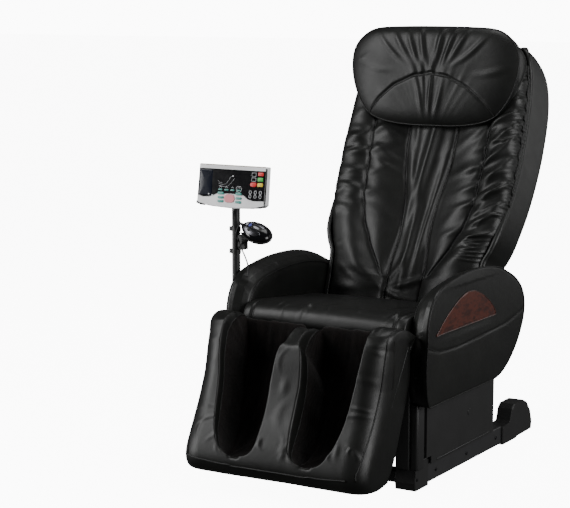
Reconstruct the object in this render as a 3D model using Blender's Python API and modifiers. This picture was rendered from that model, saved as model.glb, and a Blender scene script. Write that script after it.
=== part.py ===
"""Massage chair: a powered recliner with a rolling massage carriage, a legrest and a control panel.

Frame: metres, +Z up, the sitter faces -Y and the sitter's left hand is at +X.  The origin is the
middle of the tie bar's underside, on the floor.  Outlines of side plates are (y, z) pairs.
Pieces of the back are placed in the back's own frame: x across, y to the rear, z up the back.
"""

import math

import bmesh
import bpy
from mathutils import Matrix, Vector

PART_NAME = "massage_chair"
SIDES = (("left", 1), ("right", -1))
GAP = 0.0005                        # between pieces that lie against each other

# Base
RAIL_INNER = 0.208                  # half distance between the rails
RAIL_OUTER = 0.258
RAIL_FRONT = -0.2240
RAIL_REAR = 0.2540
RAIL_TOP = 0.056
CAP_INNER = 0.204
CAP_OUTER = 0.264
REAR_CAP_INNER = 0.216
PANEL_OUTER = 0.270                 # lower side covers
COVER_WALL = 0.0035
WHEEL_RADIUS = 0.030
WHEEL_PLACE = (0.400, 0.034)        # y, z
WHEEL_MIDDLE = 0.240                # x

# Main frame and seat
UPRIGHT_INNER = 0.2150
BAR_TOP = 0.3440
BAR_BOTTOM = 0.3100
BAR_OUTER = 0.2290
SEAT_HALF_WIDTH = 0.2430

# Armrests
ARM_OUTER = 0.3040
ARM_INNER = 0.2460
ARM_FOOT = 0.2280

# Joint axes, as (y, z)
RECLINE_AXIS = (0.1400, 0.3700)
LEGREST_AXIS = (-0.3550, 0.4120)
RECLINE_RANGE = math.radians(45)
LEGREST_RANGE = math.radians(65)

# The back's frame: the foot of its front plane, and its lean
BACK_FOOT = (0.1000, 0.4200)
BACK_LEAN = math.radians(22.8)
CARRIAGE_MIDDLE = 0.230             # height up the back of the kneading shaft
KNEAD_SHAFT_DEPTH = 0.112
ROLLER_REACH = 0.055
ROLLER_RADIUS = 0.018
ROLLER_DEPTH = 0.098

# The legrest's frame: a point on its rear plane, and its lean
LEGREST_DATUM = (-0.3480, 0.3080)
LEGREST_LEAN = math.radians(22.5)
LEGREST_HALF_WIDTH = 0.2700

# Linear actuators, as (y, z)
RECLINE_MOTOR_PIN = (-0.2350, 0.2220)
LEGREST_MOTOR_PIN = (0.0000, 0.1300)
RECLINE_X = -0.050
LEGREST_X = 0.050
LEVER_OFFSET = (-0.020, -0.100)     # from the recline axis to the lever's eye
CLEVIS_UP = -0.105                  # the legrest's clevis, in the legrest's frame
CLEVIS_BACK = 0.012

# Control post and panel
POST_X = -0.3255
POST_Y = -0.2306
POST_RADIUS = 0.0115
TILT_HEIGHT = 0.741
PANEL_LEAN = math.radians(8)
PANEL_SHIFT = 0.0077                # the panel stands off the post's middle
PANEL_FRONT = -0.0360
PANEL_BACK = -0.0135
KEY_TRAVEL_ROOM = 0.0080

# Hand controller
HAND_PLACE = (-0.2433, -0.2596, 0.638)
HAND_HALF = (0.046, 0.030, 0.018)
HAND_DIP = math.radians(22)
HAND_ROLL = math.radians(35)
PANEL_CABLE_RADIUS = 0.0022
HAND_CORD_RADIUS = 0.0020

PAINTS = {
    "black_leather": ((0.020, 0.021, 0.019), 0.42, 0.0),
    "dark_plastic": ((0.022, 0.022, 0.021), 0.50, 0.0),
    "wood": ((0.105, 0.028, 0.014), 0.30, 0.0),
    "painted_steel": ((0.030, 0.030, 0.032), 0.45, 0.6),
    "bright_steel": ((0.52, 0.52, 0.53), 0.30, 1.0),
    "zinc_steel": ((0.38, 0.39, 0.40), 0.42, 0.9),
    "tyre": ((0.030, 0.030, 0.030), 0.75, 0.0),
    "board": ((0.030, 0.030, 0.028), 0.60, 0.0),
    "white_plastic": ((0.80, 0.80, 0.80), 0.30, 0.0),
    "display_black": ((0.006, 0.006, 0.008), 0.15, 0.0),
    "pink_key": ((0.80, 0.42, 0.44), 0.35, 0.0),
    "pale_key": ((0.62, 0.62, 0.64), 0.35, 0.0),
    "blue_key": ((0.20, 0.20, 0.52), 0.35, 0.0),
    "roller_rubber": ((0.10, 0.09, 0.08), 0.65, 0.0),
    "casting": ((0.22, 0.22, 0.23), 0.55, 0.6),
    "cable_black": ((0.012, 0.012, 0.013), 0.55, 0.0),
}

# Maps an outline (a, b) with thickness c to the frame: side plates lie in (y, z), faces in (x, z).
SIDE_PLANE = Matrix(((0, 0, 1, 0), (1, 0, 0, 0), (0, 1, 0, 0), (0, 0, 0, 1)))
FACE_PLANE = Matrix(((1, 0, 0, 0), (0, 0, -1, 0), (0, 1, 0, 0), (0, 0, 0, 1)))


def clear_scene():
    for obj in list(bpy.data.objects):
        bpy.data.objects.remove(obj, do_unlink=True)


def new_collection(name, hidden):
    collection = bpy.data.collections.new(name)
    bpy.context.scene.collection.children.link(collection)
    collection.hide_render = hidden
    return collection


def paint_material(paint, name):
    colour, roughness, metallic = PAINTS[paint]
    material = bpy.data.materials.new(name + "_" + paint)
    material.use_nodes = True
    shader = material.node_tree.nodes["Principled BSDF"]
    shader.inputs["Base Color"].default_value = (*colour, 1.0)
    shader.inputs["Roughness"].default_value = roughness
    shader.inputs["Metallic"].default_value = metallic
    return material


def leaning_frame(place, lean, x=0.0):
    """Frame at (x, y, z) whose z axis leans back by the angle lean, towards +Y."""
    return Matrix.Translation((x, place[0], place[1])) @ Matrix.Rotation(-lean, 4, "X")


def direction_lean(start, end):
    return math.atan2(end[0] - start[0], end[1] - start[1])


def turned(offset, angle):
    """(y, z) offset turned about -X: a point in front of the axis rises."""
    y, z = offset
    return (y * math.cos(angle) + z * math.sin(angle), z * math.cos(angle) - y * math.sin(angle))


class Maker:
    """Makes the objects, and keeps the collections that they go in."""

    def __init__(self):
        self.parts = new_collection(PART_NAME, False)
        self.cutters = new_collection("cutters", True)

    def put(self, mesh, name, paint, matrix):
        obj = bpy.data.objects.new(name, mesh)
        mesh.name = name
        self.parts.objects.link(obj)
        obj.matrix_world = matrix
        mesh.materials.append(paint_material(paint, name))
        for polygon in mesh.polygons:
            polygon.use_smooth = True
        mesh.set_sharp_from_angle(angle=math.radians(35))
        return obj

    def box(self, name, low, high, paint, frame=None, bevel=0.0):
        size = [b - a for a, b in zip(low, high)]
        middle = [(a + b) / 2 for a, b in zip(low, high)]
        body = bmesh.new()
        bmesh.ops.create_cube(body, size=1.0)
        bmesh.ops.scale(body, vec=size, verts=body.verts)
        mesh = bpy.data.meshes.new(name)
        body.to_mesh(mesh)
        body.free()
        frame = frame or Matrix()
        obj = self.put(mesh, name, paint, frame @ Matrix.Translation(middle))
        if bevel:
            self.bevel(obj, bevel)
        return obj

    def bevel(self, obj, width, segments=2):
        modifier = obj.modifiers.new("bevel", "BEVEL")
        modifier.width = width
        modifier.segments = segments
        modifier.limit_method = "ANGLE"
        modifier.angle_limit = math.radians(40)

    def plate(self, name, outline, low, high, paint, frame=None, plane=SIDE_PLANE, bevel=0.0):
        """Outline extruded from low to high along the plane's thickness axis."""
        curve = bpy.data.curves.new(name, "CURVE")
        curve.dimensions = "2D"
        curve.fill_mode = "BOTH"
        curve.extrude = (high - low) / 2
        spline = curve.splines.new("POLY")
        spline.points.add(len(outline) - 1)
        for point, (a, b) in zip(spline.points, outline):
            point.co = (a, b, 0.0, 1.0)
        spline.use_cyclic_u = True
        mesh = self.curve_mesh(curve)
        frame = frame or Matrix()
        matrix = frame @ plane @ Matrix.Translation((0, 0, (low + high) / 2))
        obj = self.put(mesh, name, paint, matrix)
        if bevel:
            self.bevel(obj, bevel)
        return obj

    def curve_mesh(self, curve):
        """Closed mesh of a curve, its caps welded on."""
        guide = bpy.data.objects.new("guide", curve)
        bpy.context.scene.collection.objects.link(guide)
        graph = bpy.context.evaluated_depsgraph_get()
        mesh = bpy.data.meshes.new_from_object(guide.evaluated_get(graph))
        bpy.data.objects.remove(guide, do_unlink=True)
        body = bmesh.new()
        body.from_mesh(mesh)
        bmesh.ops.remove_doubles(body, verts=body.verts, dist=1e-5)
        bmesh.ops.recalc_face_normals(body, faces=body.faces)
        body.to_mesh(mesh)
        body.free()
        return mesh

    def rod(self, name, start, end, radius, paint, sides=20, frame=None, end_radius=None):
        """Round bar from start to end, which may taper to end_radius."""
        start, end = Vector(start), Vector(end)
        axis = end - start
        body = bmesh.new()
        bmesh.ops.create_cone(
            body, cap_ends=True, segments=sides, radius1=radius,
            radius2=radius if end_radius is None else end_radius, depth=axis.length,
        )
        mesh = bpy.data.meshes.new(name)
        body.to_mesh(mesh)
        body.free()
        turn = axis.to_track_quat("Z", "Y").to_matrix().to_4x4()
        frame = frame or Matrix()
        return self.put(mesh, name, paint, frame @ Matrix.Translation((start + end) / 2) @ turn)

    def ball(self, name, half, paint, frame, columns=20, rows=12):
        body = bmesh.new()
        bmesh.ops.create_uvsphere(body, u_segments=columns, v_segments=rows, radius=1.0)
        bmesh.ops.scale(body, vec=half, verts=body.verts)
        mesh = bpy.data.meshes.new(name)
        body.to_mesh(mesh)
        body.free()
        return self.put(mesh, name, paint, frame)

    def loft(self, name, rings, paint, frame=None, closed=True):
        """Skin over rings of equal count; closed rings get a cap at each end."""
        count = len(rings[0])
        body = bmesh.new()
        rows = [[body.verts.new(point) for point in ring] for ring in rings]
        spans = range(count if closed else count - 1)
        for row, following in zip(rows, rows[1:]):
            for i in spans:
                j = (i + 1) % count
                body.faces.new((row[i], row[j], following[j], following[i]))
        if closed:
            body.faces.new(rows[0])
            body.faces.new(rows[-1])
            bmesh.ops.recalc_face_normals(body, faces=body.faces)
        mesh = bpy.data.meshes.new(name)
        body.to_mesh(mesh)
        body.free()
        return self.put(mesh, name, paint, frame or Matrix())

    def combine(self, obj, others, operation):
        for other in others:
            self.parts.objects.unlink(other)
            self.cutters.objects.link(other)
            other.hide_render = True
            other.display_type = "WIRE"
            modifier = obj.modifiers.new(other.name, "BOOLEAN")
            modifier.operation = operation
            modifier.object = other
        return obj

    def join(self, obj, *others):
        return self.combine(obj, others, "UNION")

    def cut(self, obj, *others):
        return self.combine(obj, others, "DIFFERENCE")

    def tube(self, name, points, radius, paint):
        """Round cable along points of a smooth curve."""
        curve = bpy.data.curves.new(name, "CURVE")
        curve.dimensions = "3D"
        curve.bevel_depth = radius
        curve.bevel_resolution = 2
        curve.use_fill_caps = True
        spline = curve.splines.new("POLY")
        spline.points.add(len(points) - 1)
        for point, place in zip(spline.points, points):
            point.co = (*place, 1.0)
        obj = bpy.data.objects.new(name, curve)
        self.parts.objects.link(obj)
        curve.materials.append(paint_material(paint, name))
        return obj


def arc(middle, radius, start, end, steps):
    """Points round middle from the angle start to the angle end, in degrees."""
    angles = [math.radians(start + (end - start) * i / steps) for i in range(steps + 1)]
    return [(middle[0] + radius * math.cos(t), middle[1] + radius * math.sin(t)) for t in angles]


def capsule(start, end, radius, steps=6):
    """Outline of a flat link with round ends at start and end."""
    heading = math.degrees(math.atan2(end[1] - start[1], end[0] - start[0]))
    return (arc(end, radius, heading - 90, heading + 90, steps)
            + arc(start, radius, heading + 90, heading + 270, steps))


def smooth_route(points, steps):
    """Catmull-Rom curve through points, steps to a span."""
    points = [Vector(p) for p in points]
    ends = [2 * points[0] - points[1], *points, 2 * points[-1] - points[-2]]
    route = []
    for a, b, c, d in zip(ends, ends[1:], ends[2:], ends[3:]):
        for i in range(steps):
            t = i / steps
            route.append(0.5 * (2 * b + (c - a) * t + (2 * a - 5 * b + 4 * c - d) * t ** 2
                                + (3 * b - a - 3 * c + d) * t ** 3))
    route.append(points[-1])
    return route


def axis_empty(name, place, turn=None):
    empty = bpy.data.objects.new(name, None)
    bpy.context.scene.collection.objects.link(empty)
    empty.matrix_world = Matrix.Translation(place) @ (turn or Matrix())
    return empty


def hang(empty, *pieces):
    """Parents pieces to a joint's empty and leaves them where they are."""
    bpy.context.view_layer.update()
    for piece in pieces:
        piece.parent = empty
        piece.matrix_parent_inverse = empty.matrix_world.inverted()


# Base ---------------------------------------------------------------------------------------------

def make_rails(make):
    for side, s in SIDES:
        low, high = sorted((s * RAIL_INNER, s * RAIL_OUTER))
        make.box("base_rail_" + side, (low, RAIL_FRONT, 0.004), (high, RAIL_REAR, RAIL_TOP),
                 "dark_plastic", bevel=0.003)
        outline = [(-0.300, 0.0), (-0.303, 0.020), (-0.298, 0.058), (-0.287, 0.074), (-0.270, 0.078),
                   (-0.236, 0.078), (RAIL_FRONT - GAP, 0.070), (RAIL_FRONT - GAP, 0.0)]
        low, high = sorted((s * CAP_INNER, s * CAP_OUTER))
        make.plate("rail_front_cap_" + side, outline, low, high, "dark_plastic", bevel=0.004)
    make.box("base_tie_bar", (-RAIL_INNER + GAP, -0.020, 0.0), (RAIL_INNER - GAP, 0.020, 0.030),
             "painted_steel", bevel=0.002)
    make.box("base_front_crossbar", (-CAP_INNER + GAP, -0.285, 0.012), (CAP_INNER - GAP, -0.245, 0.045),
             "painted_steel", bevel=0.003)


def make_rear_ends(make):
    start = RAIL_REAR + GAP
    y, z = WHEEL_PLACE
    for side, s in SIDES:
        outline = [(start, 0.0), (start, 0.053), (0.306, 0.058), (0.318, 0.092), (0.332, 0.104),
                   (0.398, 0.105), (0.425, 0.094), (0.452, 0.062), (0.464, 0.030), (0.460, 0.006),
                   (0.360, 0.004), (0.345, 0.0)]
        low, high = sorted((s * REAR_CAP_INNER, s * CAP_OUTER))
        cover = make.plate("rail_rear_cover_" + side, outline, low, high, "dark_plastic", bevel=0.004)
        low, high = sorted((s * (WHEEL_MIDDLE - 0.017), s * (WHEEL_MIDDLE + 0.017)))
        well = make.box("wheel_well_" + side, (low, y - 0.036, -0.010), (high, y + 0.036, 0.074),
                        "dark_plastic")
        make.cut(cover, well)
        pin = make.rod("wheel_pin_" + side, (low - 0.002, y, z), (high + 0.002, y, z), 0.0040,
                       "bright_steel", sides=16)
        make.join(cover, pin)
        low, high = sorted((s * (WHEEL_MIDDLE - 0.013), s * (WHEEL_MIDDLE + 0.013)))
        wheel = make.rod("transport_wheel_" + side, (low, y, z), (high, y, z), WHEEL_RADIUS, "tyre",
                         sides=28)
        make.bevel(wheel, 0.003, segments=1)
        bore = make.rod("wheel_bore_" + side, (low - 0.01, y, z), (high + 0.01, y, z), 0.0043,
                        "tyre", sides=16)
        make.cut(wheel, bore)
        hang(axis_empty("wheel_axis_" + side, (s * WHEEL_MIDDLE, y, z)), wheel)


def make_side_panels(make):
    for side, s in SIDES:
        outline = [(-0.250, 0.0795), (RAIL_FRONT + 0.002, 0.0795), (RAIL_FRONT + 0.002, 0.0585),
                   (0.170, 0.0585), (0.172, 0.2265), (-0.250, 0.2265)]
        low, high = sorted((s * (PANEL_OUTER - COVER_WALL), s * PANEL_OUTER))
        panel = make.plate("side_panel_" + side, outline, low, high, "dark_plastic")
        low, high = sorted((s * 0.2050, s * (PANEL_OUTER - 0.001)))
        front = make.box("panel_front_" + side, (low, -0.250, 0.0795),
                         (high, -0.250 + COVER_WALL, 0.2265), "dark_plastic")
        make.join(panel, front)


def make_main_frame(make):
    """Welded frame: two uprights on the rails, the seat's bars, two cross tubes and the hinge ears."""
    paint = "painted_steel"
    frame = make.box("main_frame", (-BAR_OUTER, -0.290, BAR_BOTTOM), (BAR_OUTER, -0.262, BAR_TOP), paint)
    pieces = [make.box("mid_bar", (-BAR_OUTER, -0.060, BAR_BOTTOM), (BAR_OUTER, -0.035, BAR_TOP), paint)]
    pieces.append(make.box("recline_tube", (-0.218, -0.246, 0.180), (0.016, -0.224, 0.202), paint))
    pieces.append(make.box("hanger", (0.004, -0.268, 0.180), (0.016, -0.224, 0.314), paint))
    pieces.append(make.box("legrest_tube", (-0.218, -0.012, 0.084), (0.218, 0.012, 0.108), paint))
    pieces.append(make.box("rear_tube", (-0.218, 0.118, 0.180), (0.218, 0.140, 0.202), paint))
    ear = [(-0.270, 0.312), (-0.330, 0.316), (-0.352, 0.345), (-0.367, 0.400), (-0.365, 0.420),
           (-0.355, 0.425), (-0.345, 0.420), (-0.341, 0.405), (-0.341, 0.352), (-0.332, 0.3435),
           (-0.270, 0.3435)]
    back_ear = ([(0.120, 0.330), (0.120, 0.370)] + arc(RECLINE_AXIS, 0.020, 180, 0, 8)
                + [(0.160, 0.370), (0.150, 0.330)])
    foot, top = RAIL_TOP + GAP, BAR_BOTTOM + 0.004
    upright = [(-0.222, foot), (-0.222, 0.084), (-0.246, 0.100), (-0.246, top), (0.145, top), (0.145, foot)]
    ly, lz = LEGREST_AXIS
    ry, rz = RECLINE_AXIS
    bores = []
    for side, s in SIDES:
        low, high = sorted((s * UPRIGHT_INNER, s * (UPRIGHT_INNER + 0.006)))
        pieces.append(make.plate("upright_" + side, upright, low, high, paint))
        low, high = sorted((s * 0.205, s * BAR_OUTER))
        pieces.append(make.box("seat_bar_" + side, (low, -0.290, BAR_BOTTOM), (high, 0.150, BAR_TOP), paint))
        low, high = sorted((s * 0.220, s * (ARM_INNER - GAP)))
        for level, y in (("front", -0.210), ("rear", 0.080)):
            pieces.append(make.box("arm_bracket_" + level + side, (low, y - 0.025, 0.3160),
                                   (high, y + 0.025, 0.3380), paint))
        low, high = sorted((s * 0.206, s * 0.214))
        pieces.append(make.plate("legrest_ear_" + side, ear, low, high, paint))
        pin_end = s * 0.2345
        pieces.append(make.rod("legrest_pin_" + side, (s * 0.208, ly, lz), (pin_end, ly, lz), 0.006,
                               paint, sides=16))
        low, high = sorted((s * 0.192, s * 0.206))
        pieces.append(make.plate("back_ear_" + side, back_ear, low, high, paint))
        bores.append(make.rod("back_bore_" + side, (s * 0.180, ry, rz), (s * 0.212, ry, rz), 0.0105,
                              paint, sides=24))
    for name, x, (y, z), tube_top in (("recline", RECLINE_X, RECLINE_MOTOR_PIN, 0.200),
                                      ("legrest", LEGREST_X, LEGREST_MOTOR_PIN, 0.106)):
        lug = arc((y, z), 0.010, 0, 180, 6) + [(y - 0.010, tube_top - 0.004), (y + 0.010, tube_top - 0.004)]
        for end, offset in (("a", -0.018), ("b", 0.018)):
            pieces.append(make.plate(name + "_lug_" + end, lug, x + offset - 0.003, x + offset + 0.003, paint))
        pieces.append(make.rod(name + "_tail_pin", (x - 0.018, y, z), (x + 0.018, y, z), 0.0050, paint,
                               sides=16))
    make.join(frame, *pieces)
    make.cut(frame, *bores)
    return frame


def make_seat(make):
    make.box("seat_pan", (-0.230, -0.335, BAR_TOP + GAP), (0.230, 0.070, 0.3750), "board", bevel=0.004)
    outline = [(-0.300, 0.3755), (-0.322, 0.386), (-0.328, 0.405), (-0.326, 0.428), (-0.314, 0.445),
               (-0.290, 0.452), (-0.240, 0.448), (-0.150, 0.436), (-0.050, 0.428), (0.050, 0.424),
               (0.076, 0.420), (0.084, 0.410), (0.084, 0.3755)]
    make.plate("seat_cushion", outline, -SEAT_HALF_WIDTH, SEAT_HALF_WIDTH, "black_leather", bevel=0.009)


def arm_outline():
    """Outer outline of an armrest, clockwise from its lower front corner."""
    return [(-0.308, 0.228), (-0.323, 0.279), (-0.325, 0.330), (-0.320, 0.385), (-0.314, 0.441),
            (-0.298, 0.483), (-0.267, 0.516), (-0.217, 0.533), (-0.152, 0.544), (-0.087, 0.550),
            (-0.017, 0.551), (0.053, 0.547), (0.123, 0.535), (0.183, 0.514), (0.233, 0.491),
            (0.275, 0.459), (0.295, 0.422), (0.293, 0.378), (0.271, 0.335), (0.238, 0.297),
            (0.193, 0.262), (0.143, 0.238), (0.088, 0.228)]


def grown(outline, margin):
    """Clockwise outline with each point moved out by margin along the mean of its two sides' normals."""
    count = len(outline)
    moved = []
    for i, (a, b) in enumerate(outline):
        before = Vector(outline[i]) - Vector(outline[i - 1])
        after = Vector(outline[(i + 1) % count]) - Vector(outline[i])
        along = before.normalized() + after.normalized()
        scale = margin * 2 / along.length_squared
        moved.append((a - along.y * scale, b + along.x * scale))
    return moved


def inlay_outline():
    """Half-moon on the armrest's outer face, clockwise from its lower front corner."""
    return [(-0.272, 0.409), (-0.246, 0.427), (-0.211, 0.450), (-0.171, 0.470), (-0.128, 0.487),
            (-0.086, 0.496), (-0.041, 0.493), (0.004, 0.478), (0.044, 0.458), (0.074, 0.437),
            (0.094, 0.415), (0.089, 0.409)]


def make_armrests(make):
    """Each armrest tapers from its outer outline to a smaller inner one, and is cut for its inlay."""
    middle_y = -0.015
    stations = ((ARM_OUTER, 0.00, 0.990), (0.3010, 0.00, 1.0), (0.2860, 0.10, 1.0), (0.2660, 0.45, 1.0),
                (0.2520, 0.90, 1.0), (0.2485, 1.05, 0.992), (ARM_INNER, 1.05, 0.972))
    for side, s in SIDES:
        rings = []
        for x, taper, inset in stations:
            ky = (1 - 0.060 * taper) * inset
            kz = (1 - 0.080 * taper) * inset
            rings.append([(s * x, middle_y + (y - middle_y) * ky, ARM_FOOT + (z - ARM_FOOT) * kz)
                          for y, z in arm_outline()])
        arm = make.loft("armrest_" + side, rings, "black_leather")
        low, high = sorted((s * (ARM_OUTER - 0.0045), s * (ARM_OUTER + 0.010)))
        make.cut(arm, make.plate("inlay_pocket_" + side, grown(inlay_outline(), 0.0006), low, high, "wood"))
        low, high = sorted((s * (ARM_OUTER - 0.0040), s * (ARM_OUTER + 0.0015)))
        make.plate("arm_wood_inlay_" + side, inlay_outline(), low, high, "wood", bevel=0.001)
        if side == "right":
            hole = make.rod("cable_hole", (PANEL_ROUTE[-1][0], PANEL_ROUTE[-1][1], 0.495),
                            (PANEL_ROUTE[-1][0], PANEL_ROUTE[-1][1], 0.560), 0.0050, "black_leather",
                            sides=16)
            make.cut(arm, hole)


def make_power_and_air(make):
    box = make.box("power_supply", (-0.2140, 0.020, 0.062), (-0.100, 0.165, 0.150), "dark_plastic",
                   bevel=0.003)
    socket = make.box("inlet_socket", (-0.196, 0.147, 0.090), (-0.168, 0.175, 0.112), "dark_plastic")
    well = make.box("switch_well", (-0.1405, 0.1545, 0.0895), (-0.1195, 0.175, 0.1125), "dark_plastic")
    make.cut(box, socket, well)
    switch = make.box("mains_switch", (-0.1390, 0.1585, 0.0920), (-0.1210, 0.1670, 0.1100), "cable_black",
                      bevel=0.0015)
    hang(axis_empty("switch_axis", (-0.130, 0.1585, 0.101)), switch)
    pump = make.box("air_pump", (0.110, -0.200, 0.062), (0.2140, -0.040, 0.140), "casting", bevel=0.006)
    valve = make.rod("air_valve", (0.150, -0.230, 0.105), (0.150, -0.190, 0.105), 0.008, "casting", sides=14)
    make.join(pump, valve)


# Linear actuators ---------------------------------------------------------------------------------

def make_actuator(make, name, x, pin, eye, barrel, rod_tail, bore_start):
    """Motor and barrel from pin towards eye, with a rod that slides in the barrel's bore."""
    lean = direction_lean(pin, eye)
    frame = leaning_frame(pin, lean, x)
    reach = math.dist(pin, eye)
    body = make.rod(name + "_actuator_body", (0, 0, 0.016), (0, 0, barrel), 0.0190, "casting", 20, frame)
    eye_block = make.rod(name + "_tail", (-0.0130, 0, 0), (0.0130, 0, 0), 0.0130, "casting", 20, frame)
    motor = make.rod(name + "_motor", (0.0330, 0, 0.030), (0.0330, 0, 0.125), 0.0170, "casting", 20, frame)
    gearbox = make.box(name + "_gearbox", (-0.016, -0.016, 0.0114), (0.046, 0.016, 0.036), "casting", frame)
    make.join(body, eye_block, motor, gearbox)
    bore = make.rod(name + "_bore", (0, 0, bore_start), (0, 0, barrel + 0.05), 0.0108, "casting",
                    20, frame)
    pin_bore = make.rod(name + "_pin_bore", (-0.03, 0, 0), (0.03, 0, 0), 0.0055, "casting", 16, frame)
    make.cut(body, bore, pin_bore)
    rod = make.rod(name + "_actuator_rod", (0, 0, rod_tail), (0, 0, reach - 0.004), 0.0100, "bright_steel",
                   20, frame)
    rod_eye = make.rod(name + "_rod_eye", (-0.0095, 0, reach), (0.0095, 0, reach), 0.0120, "bright_steel",
                       20, frame)
    make.join(rod, rod_eye)
    hang(axis_empty(name + "_actuator_axis", (x, *pin)), body)
    hang(axis_empty(name + "_stroke_axis", (x, *pin), Matrix.Rotation(-lean, 4, "X")), rod)


def lever_eye():
    return (RECLINE_AXIS[0] + LEVER_OFFSET[0], RECLINE_AXIS[1] + LEVER_OFFSET[1])


def clevis_eye():
    point = leaning_frame(LEGREST_DATUM, LEGREST_LEAN) @ Vector((0, CLEVIS_BACK, CLEVIS_UP))
    return (point.y, point.z)


# Back ---------------------------------------------------------------------------------------------

def back_frame_matrix():
    return leaning_frame(BACK_FOOT, BACK_LEAN)


def in_back(place):
    """(y, z) of the chair as (depth, height) of the back."""
    point = back_frame_matrix().inverted() @ Vector((0, *place))
    return (point.y, point.z)


# height, half width, rear depth, front depth of the rear shell
SHELL_STATIONS = (
    (-0.030, 0.2370, 0.136, 0.004), (0.050, 0.2400, 0.143, 0.002), (0.125, 0.2440, 0.150, 0.000),
    (0.200, 0.2690, 0.163, 0.000), (0.294, 0.2770, 0.188, 0.000), (0.400, 0.2780, 0.213, 0.000),
    (0.510, 0.2760, 0.226, 0.000), (0.617, 0.2720, 0.227, 0.004), (0.690, 0.2650, 0.212, 0.010),
    (0.732, 0.2570, 0.182, 0.018), (0.756, 0.2470, 0.132, 0.026), (0.766, 0.2360, 0.060, 0.032),
)


def shell_section(half_width, rear, front):
    """Open U from the left front edge round the rear to the right front edge."""
    corner = min(0.055, (rear - front) * 0.45)
    middle = (half_width - corner, rear - corner)
    right = [(half_width, front), (half_width, front + (rear - corner - front) * 0.5)]
    right += arc(middle, corner, 0, 90, 4)
    right.append((half_width * 0.4, rear + 0.004))
    left = [(-x, d) for x, d in reversed(right)]
    return right + left


def make_back_shell(make):
    rings = [[(x, d, h) for x, d in shell_section(w, r, f)] for h, w, r, f in SHELL_STATIONS]
    shell = make.loft("back_shell", rings, "black_leather", back_frame_matrix(), closed=False)
    solid = shell.modifiers.new("wall", "SOLIDIFY")
    solid.thickness = 0.004
    solid.offset = -1.0
    return shell


# height, half width, channel depth, crest distance from the middle
PAD_STATIONS = (
    (0.000, 0.2310, 0.022, 0.150), (0.060, 0.2340, 0.030, 0.165), (0.125, 0.2370, 0.036, 0.180),
    (0.200, 0.2610, 0.042, 0.200), (0.294, 0.2690, 0.045, 0.212), (0.400, 0.2700, 0.045, 0.214),
    (0.510, 0.2680, 0.042, 0.212), (0.617, 0.2640, 0.034, 0.208), (0.700, 0.2540, 0.026, 0.200),
    (0.736, 0.2450, 0.022, 0.196),
)


def pad_section(half_width, channel, crest):
    """Closed section: bolsters at the crests, a channel between them and a flat rear."""
    right = [(0.0, channel), (crest * 0.32, channel * 0.94), (crest * 0.62, channel * 0.55),
             (crest * 0.84, 0.007), (crest, 0.001), (half_width - 0.010, 0.006), (half_width, 0.026),
             (half_width, 0.064), (half_width - 0.006, 0.070)]
    left = [(-x, d) for x, d in reversed(right[1:])]
    return right + left


def make_back_pad(make):
    rings = [[(x, d, h) for x, d in pad_section(w, c, k)] for h, w, c, k in PAD_STATIONS]
    return make.loft("back_pad", rings, "black_leather", back_frame_matrix())


def make_back_frame(make):
    """Welded back frame: the hinge shaft, two lugs, two long bars, three cross bars and the lever."""
    paint = "painted_steel"
    at = back_frame_matrix()
    hinge = in_back(RECLINE_AXIS)
    y, z = RECLINE_AXIS
    frame = make.rod("back_frame", (-0.214, y, z), (0.214, y, z), 0.0100, paint, 24)
    pieces = []
    for side, s in SIDES:
        low, high = sorted((s * 0.205, s * 0.225))
        pieces.append(make.box("long_bar_" + side, (low, 0.085, 0.000), (high, 0.106, 0.700), paint, at))
        low, high = sorted((s * 0.2075, s * 0.2150))
        lug = arc(hinge, 0.015, 90, 330, 8) + [(0.104, 0.002), (0.104, 0.040), (0.087, 0.040), (0.087, -0.004)]
        pieces.append(make.plate("back_lug_" + side, lug, low, high, paint, at))
        low, high = sorted((RECLINE_X + s * 0.0110, RECLINE_X + s * 0.0160))
        lever = capsule((y, z), lever_eye(), 0.0120)
        pieces.append(make.plate("lever_" + side, lever, low, high, paint))
    for name, low, high in (("low", 0.098, 0.116), ("high", 0.680, 0.698)):
        pieces.append(make.box("cross_" + name, (-0.215, 0.086, low), (0.215, 0.0995, high), paint, at))
    make.join(frame, *pieces)
    return frame


def make_guides(make):
    at = back_frame_matrix()
    pieces = []
    for side, s in SIDES:
        low, high = sorted((s * 0.1700, s * 0.1860))
        pieces.append(make.box("guide_rail_" + side, (low, 0.1000, 0.085), (high, 0.1280, 0.700),
                               "zinc_steel", at))
    screw = make.rod("lead_screw", (0, 0.1360, 0.085), (0, 0.1360, 0.700), 0.0060, "zinc_steel", 16, at)
    hang(axis_empty("screw_axis", at @ Vector((0, 0.1360, 0)), Matrix.Rotation(-BACK_LEAN, 4, "X")), screw)
    return pieces


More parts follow.
